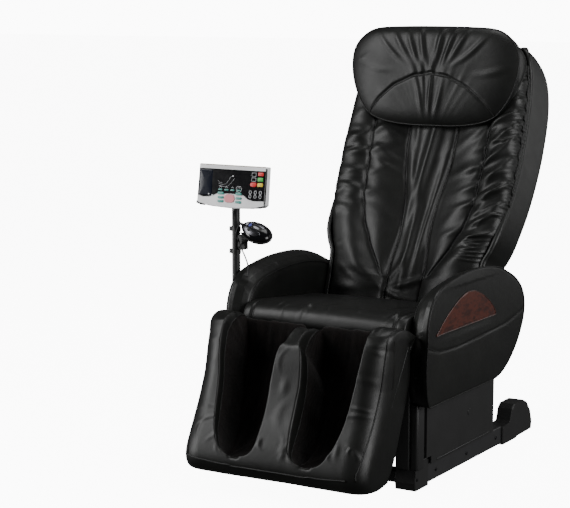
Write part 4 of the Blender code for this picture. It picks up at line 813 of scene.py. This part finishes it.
def make_pillow():
    """The front outline shrunk to its middle for the face and the rear, and carried back for the
    gusset. The face is crowned, gathered on both sides of an arched seam and piped round its edge."""
    outline = smooth(PILLOW_OUTLINE, 360, closed=True)
    centre = np.array([0.0, 0.668])
    k = np.concatenate([np.linspace(0, 0.9, 70), np.linspace(0.9, 1, 16)[1:]])
    face = centre + (outline[None] - centre) * k[:, None, None]
    x, h = face[..., 0], face[..., 1]
    crown = 0.019 * (1 - k[:, None] ** 5)
    seam_h = np.interp(x, *np.array(ARCH).T)
    off = h - seam_h
    near = np.abs(off) * 0.85
    spread = np.arctan2(x, (h - 0.46))
    wave = 0.9 * np.sin(spread * 31 + 2.2 * np.sin(spread * 9 + 1))
    wave += 0.22 * np.sin(spread * 67 + 1.6 * np.sin(spread * 13))
    middle = bump(x - 0.008, 0.082)
    fading = np.where(off > 0, np.exp(-off / 0.060), 0.75 * np.exp(off / 0.050))
    gathers = 0.0021 * wave * middle * fading * step(near, 0.0, 0.006)
    far_out = [(-0.13, 0.715, -42, 0.12, 0.010, 0.0030, 0.2), (0.13, 0.72, 42, 0.12, 0.010, 0.0030, 0.2),
               (-0.10, 0.73, -56, 0.12, 0.011, 0.0032, 0.1), (0.085, 0.735, 60, 0.12, 0.011, 0.0032, 0.1),
               (-0.03, 0.73, -76, 0.13, 0.011, 0.0040, 0.1), (0.022, 0.735, 80, 0.13, 0.012, 0.0050, 0.1),
               (0.052, 0.725, 71, 0.12, 0.010, 0.0040, 0.1), (-0.060, 0.72, -66, 0.11, 0.010, 0.0036, 0.1),
               (-0.185, 0.665, -12, 0.09, 0.012, 0.0024, 0.2), (0.19, 0.66, 14, 0.09, 0.012, 0.0024, 0.2),
               (-0.22, 0.70, 18, 0.05, 0.009, 0.0016, 0.2), (0.002, 0.60, 86, 0.11, 0.0085, 0.0034, 0.0),
               (0.030, 0.585, 76, 0.10, 0.0095, 0.0026, 0.1),
               (-0.030, 0.59, 102, 0.10, 0.0095, 0.0026, 0.1)]
    edge_fade = 1 - k[:, None] ** 8
    rise = crown + (gathers + folds(x, h, far_out) + 0.0016 * undulation(face, 0.09, 13)) * edge_fade
    rise = rise - 0.0042 * bump(off, 0.0045) * step(0.21, np.abs(x), 0.2101) * edge_fade
    d = pillow_front(h) - rise + 0.004 * k[:, None] ** 12
    rings = [np.stack([x, d, h], -1)]
    rear = np.maximum(-0.006, 0.016 * (1 - (outline[:, 0] / 0.150) ** 2) - 0.006)
    rear += 0.012 * step(outline[:, 1], 0.60, 0.76)
    front = pillow_front(outline[:, 1]) + 0.004
    place = np.arange(360)
    for share in np.linspace(0, 1, 16)[1:]:
        out = 1 + 0.016 * math.sin(math.pi * share) - 0.02 * share
        ring = centre + (outline - centre) * out
        depth = front + (np.maximum(rear, front + 0.014) - front) * share
        pucker = 0.0016 * np.sin(place * 0.42 + 2 * np.sin(place * 0.07)) * math.sin(math.pi * share)
        rings.append(np.stack([ring[:, 0], depth, ring[:, 1] + pucker], -1)[None])
    last = rings[-1][0]
    mid = last.mean(0)
    for share in np.linspace(1, 0, 12)[1:]:
        rings.append((mid + (last - mid) * share)[None])
    p = np.concatenate(rings)
    q = place_back(p[..., 0], p[..., 1], p[..., 2])
    obj = piece("head_pillow_leather", q, quads(len(q), 360, wrap_columns=True), LEATHER, "pillow",
                "black_leather")
    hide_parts("head_pillow")

    edge = place_back(outline[:, 0], pillow_front(outline[:, 1]) + 0.0035, outline[:, 1])
    parts = [tube_parts(edge, 0.0023, 8, closed=True, ref=(0, -0.9, 0.4))]
    rear_line = centre + (outline - centre) * 0.985
    rear_edge = place_back(rear_line[:, 0], np.maximum(rear, front + 0.014) - 0.001, rear_line[:, 1])
    parts.append(tube_parts(rear_edge, 0.0018, 8, closed=True, ref=(0, -0.9, 0.4)))
    arch = smooth(ARCH, 150)
    k_arch = np.clip(np.abs(arch[:, 0]) / 0.205, 0, 1)
    arch_rise = 0.019 * (1 - k_arch ** 5) - 0.0045 * (1 - k_arch ** 6)
    line = place_back(arch[:, 0], pillow_front(arch[:, 1]) - arch_rise, arch[:, 1])
    parts.append(tube_parts(line, 0.0013, 6, ref=(0, -0.9, 0.4)))
    piece("head_pillow_piping", *join_parts(parts), PIPING, "pillow", "black_leather")


make_pillow()


# Legrest ------------------------------------------------------------------------------------------

# Profiles of the legrest, (y, z): up its rear, over its crest and down its front, and down a calf well.
LEG_REAR = [(-0.500, 0.058), (-0.470, 0.066), (-0.452, 0.082), (-0.433, 0.110), (-0.412, 0.155),
            (-0.389, 0.210), (-0.366, 0.266), (-0.350, 0.310), (-0.3485, 0.350), (-0.350, 0.392),
            (-0.360, 0.420)]
LEG_CREST = [(-0.360, 0.420), (-0.376, 0.436), (-0.402, 0.446), (-0.438, 0.446), (-0.468, 0.432),
             (-0.488, 0.402), (-0.502, 0.360), (-0.513, 0.315), (-0.528, 0.270), (-0.547, 0.225),
             (-0.570, 0.180), (-0.590, 0.138), (-0.600, 0.105), (-0.598, 0.080), (-0.582, 0.060),
             (-0.545, 0.052), (-0.500, 0.058)]
LEG_WELL = [(-0.360, 0.420), (-0.372, 0.422), (-0.376, 0.400), (-0.377, 0.360), (-0.380, 0.320),
            (-0.400, 0.265), (-0.424, 0.205), (-0.448, 0.148), (-0.470, 0.118), (-0.505, 0.104),
            (-0.550, 0.100), (-0.585, 0.100), (-0.597, 0.094), (-0.598, 0.080), (-0.582, 0.060),
            (-0.545, 0.052), (-0.500, 0.058)]
WELL_INNER = ((0.05, 0.105), (0.108, 0.100), (0.118, 0.074), (0.130, 0.058), (0.150, 0.049),
              (0.200, 0.043), (0.260, 0.042), (0.300, 0.043), (0.360, 0.038), (0.390, 0.030),
              (0.413, 0.020), (0.446, 0.018))
WELL_OUTER = ((0.05, 0.105), (0.108, 0.110), (0.118, 0.138), (0.140, 0.160), (0.178, 0.179),
              (0.230, 0.191), (0.300, 0.199), (0.362, 0.207), (0.420, 0.212), (0.446, 0.213))
# How far the crest draws back at the side faces, at heights up the legrest.
EDGE_DROP = ((0.05, 0.10, 0.18, 0.30, 0.40, 0.446), (0.034, 0.044, 0.060, 0.074, 0.062, 0.022))
LEG_HALF = 0.270
REAR_ROWS, FRONT_ROWS = 44, 258
BOLSTER_COLUMNS, WALL_COLUMNS, FLOOR_COLUMNS, CENTRE_COLUMNS = 44, 14, 38, 16
WALL_RUN = 0.017                         # how far a well's wall leans in from its rim


def legrest_line(front):
    """The rear profile and a front profile as one closed line, with the same rows for every front."""
    return np.vstack([smooth(LEG_REAR, REAR_ROWS)[:-1], smooth(front, FRONT_ROWS)[:-1]])


crest_line, well_line = legrest_line(LEG_CREST), legrest_line(LEG_WELL)
LEG_ROWS = len(crest_line)


def well_rims():
    """Distances from the middle of each well's inner and outer rim, row by row."""
    inner, outer = eased(WELL_INNER, crest_line[:, 1]), eased(WELL_OUTER, crest_line[:, 1])
    middle = (inner + outer) / 2
    least = WALL_RUN + 0.004
    return np.minimum(inner, middle - least), np.maximum(outer, middle + least)


def legrest_columns():
    """(x, wall share) of every column and row of one half, from the side face to the middle. Columns
    keep to the wells' rims, so that a rim is a clean line of the grid."""
    inner, outer = well_rims()
    q = np.linspace(0, 1, BOLSTER_COLUMNS)[:, None]
    bolster = LEG_HALF - (LEG_HALF - outer) * q ** 1.25
    w = np.linspace(0, 1, WALL_COLUMNS + 1)[1:, None]
    wall_out = outer - WALL_RUN * w
    f = np.linspace(0, 1, FLOOR_COLUMNS + 1)[1:, None]
    floor = (outer - WALL_RUN) + ((inner + WALL_RUN) - (outer - WALL_RUN)) * f
    wall_in = inner + WALL_RUN * (1 - w)
    c = np.linspace(0, 1, CENTRE_COLUMNS)[1:, None]
    centre = inner * (1 - c)
    x = np.vstack([bolster, wall_out, floor, wall_in, centre])
    lean = 0.5 - 0.5 * np.cos(w * math.pi)
    one = np.ones((1, x.shape[1]))
    share = np.vstack([0 * q * one, lean * one, (0 * f + 1) * one, lean[::-1] * one, 0 * c * one])
    return x, share


def legrest_skin(x, wall):
    """Points of the legrest's skin: the crest's profile drawn back towards the side line at the ends,
    and swapped for the well's profile between the two walls of each calf well."""
    a = np.abs(x)
    front = (np.arange(LEG_ROWS) >= REAR_ROWS - 1)[None, :]
    z_crest = crest_line[None, :, 1] + 0 * a
    y_crest = crest_line[None, :, 0] + 0 * a
    end = np.clip((LEG_HALF - a) / 0.062, 0, 1)
    round_off = 1 - np.sqrt(np.clip(1 - (1 - end) ** 2, 0, 1))
    drop = np.interp(z_crest, *EDGE_DROP)
    y_crest = y_crest + front * round_off * drop
    z_crest = z_crest - bump(a, 0.050) * step(z_crest, 0.38, 0.44) * 0.026
    corner = np.clip((LEG_HALF - a) / 0.034, 0, 1)
    tight = 0.955 + 0.045 * np.sqrt(np.clip(1 - (1 - corner) ** 2, 0, 1))
    z_crest = 0.250 + (z_crest - 0.250) * tight
    y_crest = -0.450 + (y_crest + 0.450) * (0.5 + 0.5 * tight)
    fade = step(crest_line[:, 1], 0.102, 0.132)[None, :] * front
    share = wall * fade
    y = y_crest + (well_line[None, :, 0] - y_crest) * share
    z = z_crest + (well_line[None, :, 1] - z_crest) * share
    p = np.stack([x, y, z], -1)
    n = normals(p)
    n *= np.sign((n * (p - np.array([0, -0.42, 0.24]))).sum(-1).mean())
    u, v = x, np.broadcast_to(np.linspace(0, 1.15, LEG_ROWS)[None, :], y.shape)
    rows = [(0.225, 0.66, 20, 0.05, 0.010, 0.0020, 0.2), (0.235, 0.84, 60, 0.06, 0.009, 0.0022, 0.2)]
    for s in (-1, 1):
        bolster, toe = sorted((s * 0.205, s * 0.255)), sorted((s * 0.03, s * 0.24))
        rows += scattered(60 + s, 9, bolster, (0.30, 0.80), s * 20, 0.07, 0.013, 0.0011, 30)
        rows += scattered(64 + s, 12, toe, (0.82, 0.90), 88, 0.045, 0.008, 0.0014, 14)
        rows += [(s * 0.205, 0.30, 75, 0.07, 0.009, 0.0030, 0.2),
                 (s * 0.228, 0.28, 82, 0.07, 0.008, 0.0026, 0.2)]
    rows += scattered(68, 4, (-0.030, 0.030), (0.30, 0.80), 84, 0.09, 0.012, 0.0012, 10)
    soft = folds(u, v, rows) * (1 - share) * front * step(LEG_HALF - a, 0.004, 0.03)
    slack = (0.0050 * undulation(p * np.array([1.5, 1, 0.7]), 0.09, 71)
             + 0.0028 * undulation(p * np.array([2.2, 1, 0.5]), 0.05, 72)) * share
    swell = 0.0012 * undulation(p, 0.15, 73) * front * (1 - share)
    return p + n * (soft + slack + swell)[..., None]


def make_legrest():
    """The legrest's skin, split at the rims of the wells into leather and knit liners."""
    half_x, half_wall = legrest_columns()
    x = np.vstack([-half_x, half_x[-2::-1]])
    wall = np.vstack([half_wall, half_wall[-2::-1]])
    p = legrest_skin(x, wall)
    columns = len(x)
    first, last = BOLSTER_COLUMNS + 3, BOLSTER_COLUMNS + 2 * WALL_COLUMNS + FLOOR_COLUMNS - 5
    lined_rows = np.flatnonzero((crest_line[:, 1] > 0.113) & (np.arange(LEG_ROWS) >= REAR_ROWS + 2))
    low, high = lined_rows.min(), lined_rows.max()
    cells = quads(*p.shape[:2], wrap_columns=True)
    column, row = cells[:, 0] // LEG_ROWS, cells[:, 0] % LEG_ROWS
    mirrored = np.minimum(column, columns - 2 - column)
    lined = (mirrored >= first) & (mirrored < last) & (row >= low) & (row < high)
    ends = []
    for end, k in ((p[0], np.linspace(0, 1, 10)), (p[-1], np.linspace(1, 0, 10))):
        mid = np.array([end[0, 0], -0.455, 0.245])
        ends.append(mid + (end[None] - mid) * k[:, None, None])
    caps = [(e, quads(10, LEG_ROWS, wrap_columns=True)) for e in ends]
    pad = piece("legrest_leather", *join_parts([caps[0], (p, cells[~lined]), caps[1]]), LEATHER, "legrest",
                "black_leather", weld=2 * WELD)
    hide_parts("legrest_pad")
    for side, s in SIDES:
        own = lined & ((column < columns // 2) == (s < 0))
        liner = piece(f"calf_well_liner_{side}", p, cells[own], KNIT, "legrest", "black_leather")
    parts = []
    for c in (first, last, columns - 1 - first, columns - 1 - last):
        parts.append(tube_parts(p[c, low:high + 1], 0.0014, 8, ref=(1, 0.2, 0)))
    # Piping runs down each outer edge and along the toe.
    at = int(np.argmin(np.abs(half_x[:, LEG_ROWS // 2] - 0.2590)))
    for c in (at, columns - 1 - at):
        line = p[c, REAR_ROWS + 12:]
        line = line[line[:, 2] > 0.096] + np.array([0, -0.0010, 0])
        parts.append(tube_parts(line, 0.0021, 8, ref=(1, 0, 0)))
    xs = p[at:columns - at, LEG_ROWS // 2, 0]
    rise = 0.0885 + 0.010 * (np.abs(xs) / 0.259) ** 6
    front = p[at:columns - at, int(LEG_ROWS * 0.6):]
    gap = np.abs(front[..., 2] - rise[:, None]) + (front[..., 1] > -0.5)
    line = front[np.arange(len(xs)), gap.argmin(1)] + np.array([0, -0.0016, 0])
    parts.append(tube_parts(smooth(line[::10], 220), 0.0021, 8))
    piece("legrest_piping", *join_parts(parts), PIPING, "legrest", "black_leather")


make_legrest()


# Control panel ------------------------------------------------------------------------------------

PANEL_FRAME = (Matrix.Translation((POST[0] + PANEL_SHIFT, POST[1], TILT_HEIGHT))
               @ Matrix.Rotation(-PANEL_LEAN, 4, "X"))


def rounded(middle, size, radius):
    """A rounded rectangle's outline."""
    w, h = size[0] / 2 - radius, size[1] / 2 - radius
    arcs = []
    for x, z, start in ((w, h, 0), (-w, h, 90), (-w, -h, 180), (w, -h, 270)):
        a = np.radians(np.linspace(start, start + 90, 8))
        arcs.append(np.stack([x + radius * np.cos(a), z + radius * np.sin(a)], -1))
    return np.vstack(arcs) + np.asarray(middle)


def low_plate(outline, base, height, rim=0.0004):
    """A low plate: the outline raised from base, with a small rolled rim, closed to its middle."""
    outline = np.asarray(outline, float)
    mid = outline.mean(0)
    top = base + height
    rows = [(0.0, base), (1.0, base), (1.0, top - rim), (1 - rim / 0.006, top - rim * 0.3),
            (1 - 2 * rim / 0.006, top), (0.0, top)]
    rings = [np.stack([mid[0] + (outline[:, 0] - mid[0]) * k, np.full(len(outline), PANEL_FACE - y),
                       mid[1] + (outline[:, 1] - mid[1]) * k], -1) for k, y in rows]
    return frame_points(PANEL_FRAME, rings), quads(len(rows), len(outline), wrap_columns=True)


def panel_piece(name, plates, material, slot):
    """One piece of several low plates on the panel. A plate is its outline, base and height."""
    return piece(name, *join_parts([low_plate(*row) for row in plates]), material, "panel", slot)


def stroke(points, width=0.0005, base=0.0019):
    """A thin printed line on the panel's face, as a flattened tube."""
    line = np.array([(x, PANEL_FACE - base, z) for x, z in smooth(points, 12 * len(points))])
    points, faces = tube_parts(line, width, 6, ref=(0, 1, 0))
    return frame_points(PANEL_FRAME, points), faces


def loop_stroke(outline, width=0.0005, base=0.0019):
    """A printed line round an outline."""
    return stroke([*outline[::4], outline[0]], width, base)


PANEL_TOP = 0.0696                       # the casing's upper edge over the tilt shaft
DISPLAY_FACE = 0.0018                    # how far the display's face stands out of the casing's face
WIDE_KEY, SMALL_KEY = (0.0190, 0.0072), (0.0170, 0.0100)
LAMPS = (-0.036, -0.0155, 0.0051, 0.0265)
KEY_RISE = 0.0032                        # how far a level key's face stands out of the casing's face


def make_panel():
    """Windows, keys, lamps and line drawings on the panel's black display."""
    def at(u, v):
        """A place on the display, given across from its middle and down from the casing's upper edge."""
        return (u * 0.94, PANEL_TOP - v * 0.98)

    def plates(places, size, radius, height, base=DISPLAY_FACE):
        """A rounded plate of one size at each place."""
        return [(rounded(at(u, v), size, radius), base, height) for u, v in places]

    panel_piece("panel_windows", plates([(-0.0875, 0.051)], (0.041, 0.070), 0.003, 0.0006), NAVY,
                "display_black")
    lamps = plates([(u, 0.0690) for u in LAMPS], (0.0125, 0.0040), 0.0012, 0.0008)
    upper = plates([(-0.0342, 0.0790), (0.0265, 0.0785)], WIDE_KEY, 0.003, 0.0014)
    panel_piece("panel_teal_keys", upper + lamps, TEAL, "pale_key")
    lower = [(u, v) for v in (0.0905, 0.1010) for u in (-0.0342, 0.0265)]
    panel_piece("casing_teal_keys", plates(lower, WIDE_KEY, 0.003, 0.0018, -0.0002), TEAL, "pale_key")
    for name, place, size, radius, paint, slot in (
            ("red", (0.0975, 0.0210), SMALL_KEY, 0.002, RED, "pink_key"),
            ("green", (0.0970, 0.0354), SMALL_KEY, 0.002, GREEN, "pale_key"),
            ("yellow", (0.0970, 0.0502), SMALL_KEY, 0.002, YELLOW, "pale_key"),
            ("pink", (0.0745, 0.0503), (0.0200, 0.0115), 0.0055, RED, "pink_key")):
        panel_piece(f"panel_{name}_key", plates([place], size, radius, 0.0012), paint, slot)
    marks = [loop_stroke(rounded(at(0.0745, v), (0.0130, 0.0095), 0.002)) for v in (0.0227, 0.0363)]
    # A reclining figure: its body, the seat under it and its foot.
    for line in (((-0.044, 0.052), (-0.030, 0.055), (-0.018, 0.052), (-0.010, 0.042), (-0.004, 0.034),
                  (0.003, 0.031)),
                 ((-0.042, 0.058), (-0.026, 0.060), (-0.012, 0.058), (0.000, 0.048), (0.010, 0.036)),
                 ((-0.046, 0.044), (-0.040, 0.049), (-0.030, 0.050))):
        marks.append(stroke([at(u, v) for u, v in line], 0.00028))
    for u in LAMPS:
        marks.append(stroke([at(u - 0.004, 0.0635), at(u, 0.0605), at(u + 0.004, 0.0635)]))
    marks.append(loop_stroke(rounded(at(0.0265, 0.0655), (0.0170, 0.0160), 0.0075)))
    piece("panel_printed_lines", *join_parts(marks), PRINT, "panel", "white_plastic")
    dots = [(-0.075, 0.083), (-0.063, 0.086), (0.004, 0.030)]
    panel_piece("panel_dots", plates(dots, (0.0040, 0.0040), 0.0019, 0.0008), PRINT, "white_plastic")
    for number, x in enumerate((0.0625, 0.0785, 0.0942), 1):
        rings = [loop_stroke(rounded((x, z), (0.0072, 0.0086), 0.0034), 0.0007, KEY_RISE)
                 for z in (-0.0006, -0.0114)]
        piece(f"level_key_{number}_outline", *join_parts(rings), PRINT, f"level_{number}", "white_plastic")
    # A black side strip, bottom corner caps and a thin warm strip along the top edge.
    strip = [(0.1045, 0.0640), (0.1098, 0.0640), (0.1104, -0.0300), (0.1052, -0.0330)]
    panel_piece("panel_side_strip", [(strip, -0.0005, 0.0012)], GLOSS, "display_black")
    cap = np.array([(0.1102, -0.0320), (0.1102, -0.0385), (0.0960, -0.0430), (0.0800, -0.0440),
                    (0.0850, -0.0395), (0.1000, -0.0365)])
    panel_piece("panel_corner_caps", [(cap * (s, 1), -0.0008, 0.0016) for s in (-1, 1)], GLOSS,
                "display_black")
    strip = rounded((0, 0.0690), (0.206, 0.0022), 0.0009)
    panel_piece("panel_top_strip", [(strip, -0.0004, 0.0012)], TAN, "white_plastic")


make_panel()


# Hand controller ----------------------------------------------------------------------------------

HAND_SKIN = 0.0001                       # the body's skin lies this far inside its full size


def hand_shell(lon, lat):
    """A mouse-like body: an ellipsoid whose sides are drawn in towards the cord's end."""
    a, b, c = (value - HAND_SKIN for value in HAND_HALF)
    x = a * np.cos(lat) * np.cos(lon)
    taper = 1 - 0.16 * step(-x, -0.01, 0.045)
    y = b * np.cos(lat) * np.sin(lon) * taper
    z = c * np.sin(lat)
    return np.stack([x, y, z], -1)


def hand_top(x, y, grow):
    """Points above (x, y) at a height of grow over the body's upper face."""
    a, b, c = (value + grow for value in HAND_HALF)
    taper = 1 - 0.16 * step(-x, -0.01, 0.045)
    return np.stack([x, y, c * np.sqrt(np.clip(1 - (x / a) ** 2 - (y / (b * taper)) ** 2, 0, 1))], -1)


def hand_patch(outline, grow):
    """A closed thin plate that follows the body's upper face inside an outline."""
    outline = np.asarray(outline, float)
    mid = outline.mean(0)
    k = np.linspace(0, 1, 10)[:, None, None]
    flat = mid + (outline[None] - mid) * k
    upper = hand_top(flat[..., 0], flat[..., 1], grow)
    lower = hand_top(flat[..., 0], flat[..., 1], -0.0008)
    p = np.concatenate([upper, lower[::-1]])
    return frame_points(HAND_FRAME, p), quads(20, len(outline), wrap_columns=True)


def make_hand_controller():
    """The glossy body, two bright plates on it, the recesses of its rocker and its toggle, and the
    ribbed strain relief where the cord leaves."""
    around = np.linspace(0, 2 * math.pi, 72, endpoint=False)
    lon, lat = np.meshgrid(around, np.linspace(-math.pi / 2, math.pi / 2, 41))
    p = frame_points(HAND_FRAME, hand_shell(lon, lat))
    obj = piece("handset_body", p, quads(41, 72, wrap_columns=True), GLOSS, "handset", "display_black")
    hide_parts("hand_controller")
    outline = np.array([(-0.037, 0.0085), (-0.030, 0.0165), (-0.016, 0.0225), (0.002, 0.0245),
                        (0.014, 0.0225), (0.020, 0.0150), (0.020, 0.0085), (-0.008, 0.0082)])
    plates = [hand_patch(smooth(outline * (1, s), 64, closed=True), 0.0006) for s in (-1, 1)]
    piece("handset_chrome_plates", *join_parts(plates), CHROME, "handset", "zinc_steel")
    outline = [(-0.011, 0.0058), (0.013, 0.0058), (0.0165, 0), (0.013, -0.0058), (-0.011, -0.0058),
               (-0.0145, 0)]
    ring = hand_patch(smooth(outline, 48, closed=True), 0.0004)
    piece("handset_rocker_recess", *ring, DARK, "handset", "dark_plastic")
    outline = [(-0.019, -0.0150), (-0.012, -0.0192), (-0.005, -0.0150), (-0.012, -0.0108)]
    seat = hand_patch(smooth(outline, 40, closed=True), 0.0010)
    piece("handset_toggle_recess", *seat, CABLE, "handset", "cable_black")
    axis = np.linspace(-HAND_HALF[0] - 0.0120, -HAND_HALF[0] + 0.004, 60)
    line = np.stack([axis, 0 * axis, 0 * axis], -1)
    run = axis - axis[0]
    ribs = 0.0005 * np.sign(np.sin(run * 2 * math.pi / 0.0026))
    radius = 0.0030 + 0.0014 * run / run[-1] + ribs
    q, f = tube_parts(line, radius, 16, ref=(0, 0, 1))
    piece("handset_strain_relief", frame_points(HAND_FRAME, q), f, CABLE, "handset", "cable_black")


make_hand_controller()


# Base details -------------------------------------------------------------------------------------

def disc_parts(x, y, z, radius, height, s):
    """A low turned button on a side face: a profile of radii and heights swept round the x axis."""
    profile = np.array([(0, -0.4), (1, -0.4), (1, 0.6), (0.93, 0.9), (0.80, 1.0), (0.45, 0.93), (0, 0.90)])
    a = np.linspace(0, 2 * math.pi, 28, endpoint=False)
    r = profile[:, :1] * radius
    across = np.broadcast_to(s * (x + profile[:, 1:] * height), (7, 28))
    p = np.stack([across, y + r * np.cos(a), z + r * np.sin(a)], -1)
    return p, quads(7, 28, wrap_columns=True)


def make_base_details(side, s):
    """Plugs, screw heads and a painted groove shadow on the outer faces of the lower cover and the rail: a
    black line, wider near its front end, that stands in for the shade in a groove.
    """
    plug = disc_parts(0.2702, 0.010, 0.150, 0.0100, 0.0010, s)
    piece(f"cover_plug_{side}", *plug, DARK, "base", "dark_plastic")
    screws = [disc_parts(0.2582, y, 0.030, 0.0055, 0.0016, s) for y in (-0.170, 0.020, 0.215)]
    screws.append(disc_parts(0.2642, -0.292, 0.030, 0.0045, 0.0012, s))
    piece(f"rail_screws_{side}", *join_parts(screws), GLOSS, "base", "dark_plastic")
    # Painted shadow: a black gloss line on the cover's face, widest near its front end, standing in for the
    # shade inside a groove.
    y = np.linspace(-0.190, 0.150, 80)
    width = 0.0022 * np.interp(y, (-0.190, -0.120, 0.150), (0.7, 1.3, 0.6))
    line = np.stack([np.full(80, s * 0.2702), y, np.interp(y, (-0.190, 0.150), (0.0640, 0.0655))], -1)
    piece(f"cover_groove_painted_shadow_{side}", *tube_parts(line, width, 8, ref=(1, 0, 0)), GLOSS, "base", "dark_plastic")


def make_front_cover(side, s):
    """Two dark covers between the rail and the armrest's front: a rounded rectangle, seen from above,
    carried up with its edges rolled in at both ends. One stands under the armrest, one beside it."""
    parts = []
    for x, y, size, bottom, top in ((0.2570, -0.2790, (0.0240, 0.0420), 0.056, 0.2270),
                                    (0.2250, -0.2990, (0.0390, 0.0080), 0.056, 0.3300)):
        ring = rounded((0, 0), size, min(size) * 0.3)
        levels = np.array([(bottom, 0.0), (bottom, 0.94), (bottom + 0.003, 1.0),
                           (top - 0.003, 1.0), (top, 0.94), (top, 0.0)])
        p = np.stack([s * (x + ring[None, :, 0] * levels[:, 1:]), y + ring[None, :, 1] * levels[:, 1:],
                      np.broadcast_to(levels[:, :1], (len(levels), len(ring)))], -1)
        parts.append((p, quads(len(levels), len(ring), wrap_columns=True)))
    piece(f"front_cover_{side}", *join_parts(parts), DARK, "base", "dark_plastic")


for side, s in SIDES:
    make_base_details(side, s)
    make_front_cover(side, s)


# Floor and light ----------------------------------------------------------------------------------

def make_studio():
    """A pale floor, a white surround that lights the chair only dimly, and five large soft lights."""
    mesh = bpy.data.meshes.new("floor")
    a = 40.0
    mesh.from_pydata([(-a, -a, 0), (a, -a, 0), (a, a, 0), (-a, a, 0)], [], [(0, 1, 2, 3)])
    floor = bpy.data.objects.new("floor", mesh)
    bpy.context.scene.collection.objects.link(floor)
    floor.data.materials.append(Paint("pale floor", (0.95, 0.95, 0.95), 0.9, Specular_IOR_Level=0.0,
                                      Emission_Color=(1, 1, 1, 1), Emission_Strength=10.0).material)
    floor.visible_glossy = False
    floor.visible_diffuse = False
    world = bpy.data.worlds.new("studio")
    bpy.context.scene.world = world
    world.use_nodes = True
    nodes, links = world.node_tree.nodes, world.node_tree.links
    background = nodes["Background"]
    background.inputs["Color"].default_value = (1, 1, 1, 1)
    strength = nodes.new("ShaderNodeMapRange")
    strength.inputs["To Min"].default_value = 0.07
    strength.inputs["To Max"].default_value = 11.0
    links.new(nodes.new("ShaderNodeLightPath").outputs["Is Camera Ray"], strength.inputs["Value"])
    links.new(strength.outputs["Result"], background.inputs["Strength"])
    for name, place, target, size, power in (
            ("key", (-2.1, -2.2, 2.5), (0, -0.1, 0.6), 1.5, 74),
            ("top", (0.4, 0.3, 3.1), (0, 0, 0.6), 1.4, 30),
            ("side", (3.3, -0.9, 1.5), (0.1, 0, 0.4), 1.8, 95),
            ("rear", (2.3, 2.6, 1.3), (0.2, 0, 0.5), 2.2, 20),
            ("low", (-2.7, -2.3, 0.7), (-0.1, -0.4, 0.2), 1.2, 58)):
        lamp = bpy.data.lights.new(name, "AREA")
        lamp.size = size
        lamp.energy = power
        obj = bpy.data.objects.new(name, lamp)
        obj.location = place
        obj.rotation_euler = (Vector(target) - Vector(place)).to_track_quat("-Z", "Y").to_euler()
        bpy.context.scene.collection.objects.link(obj)


make_studio()
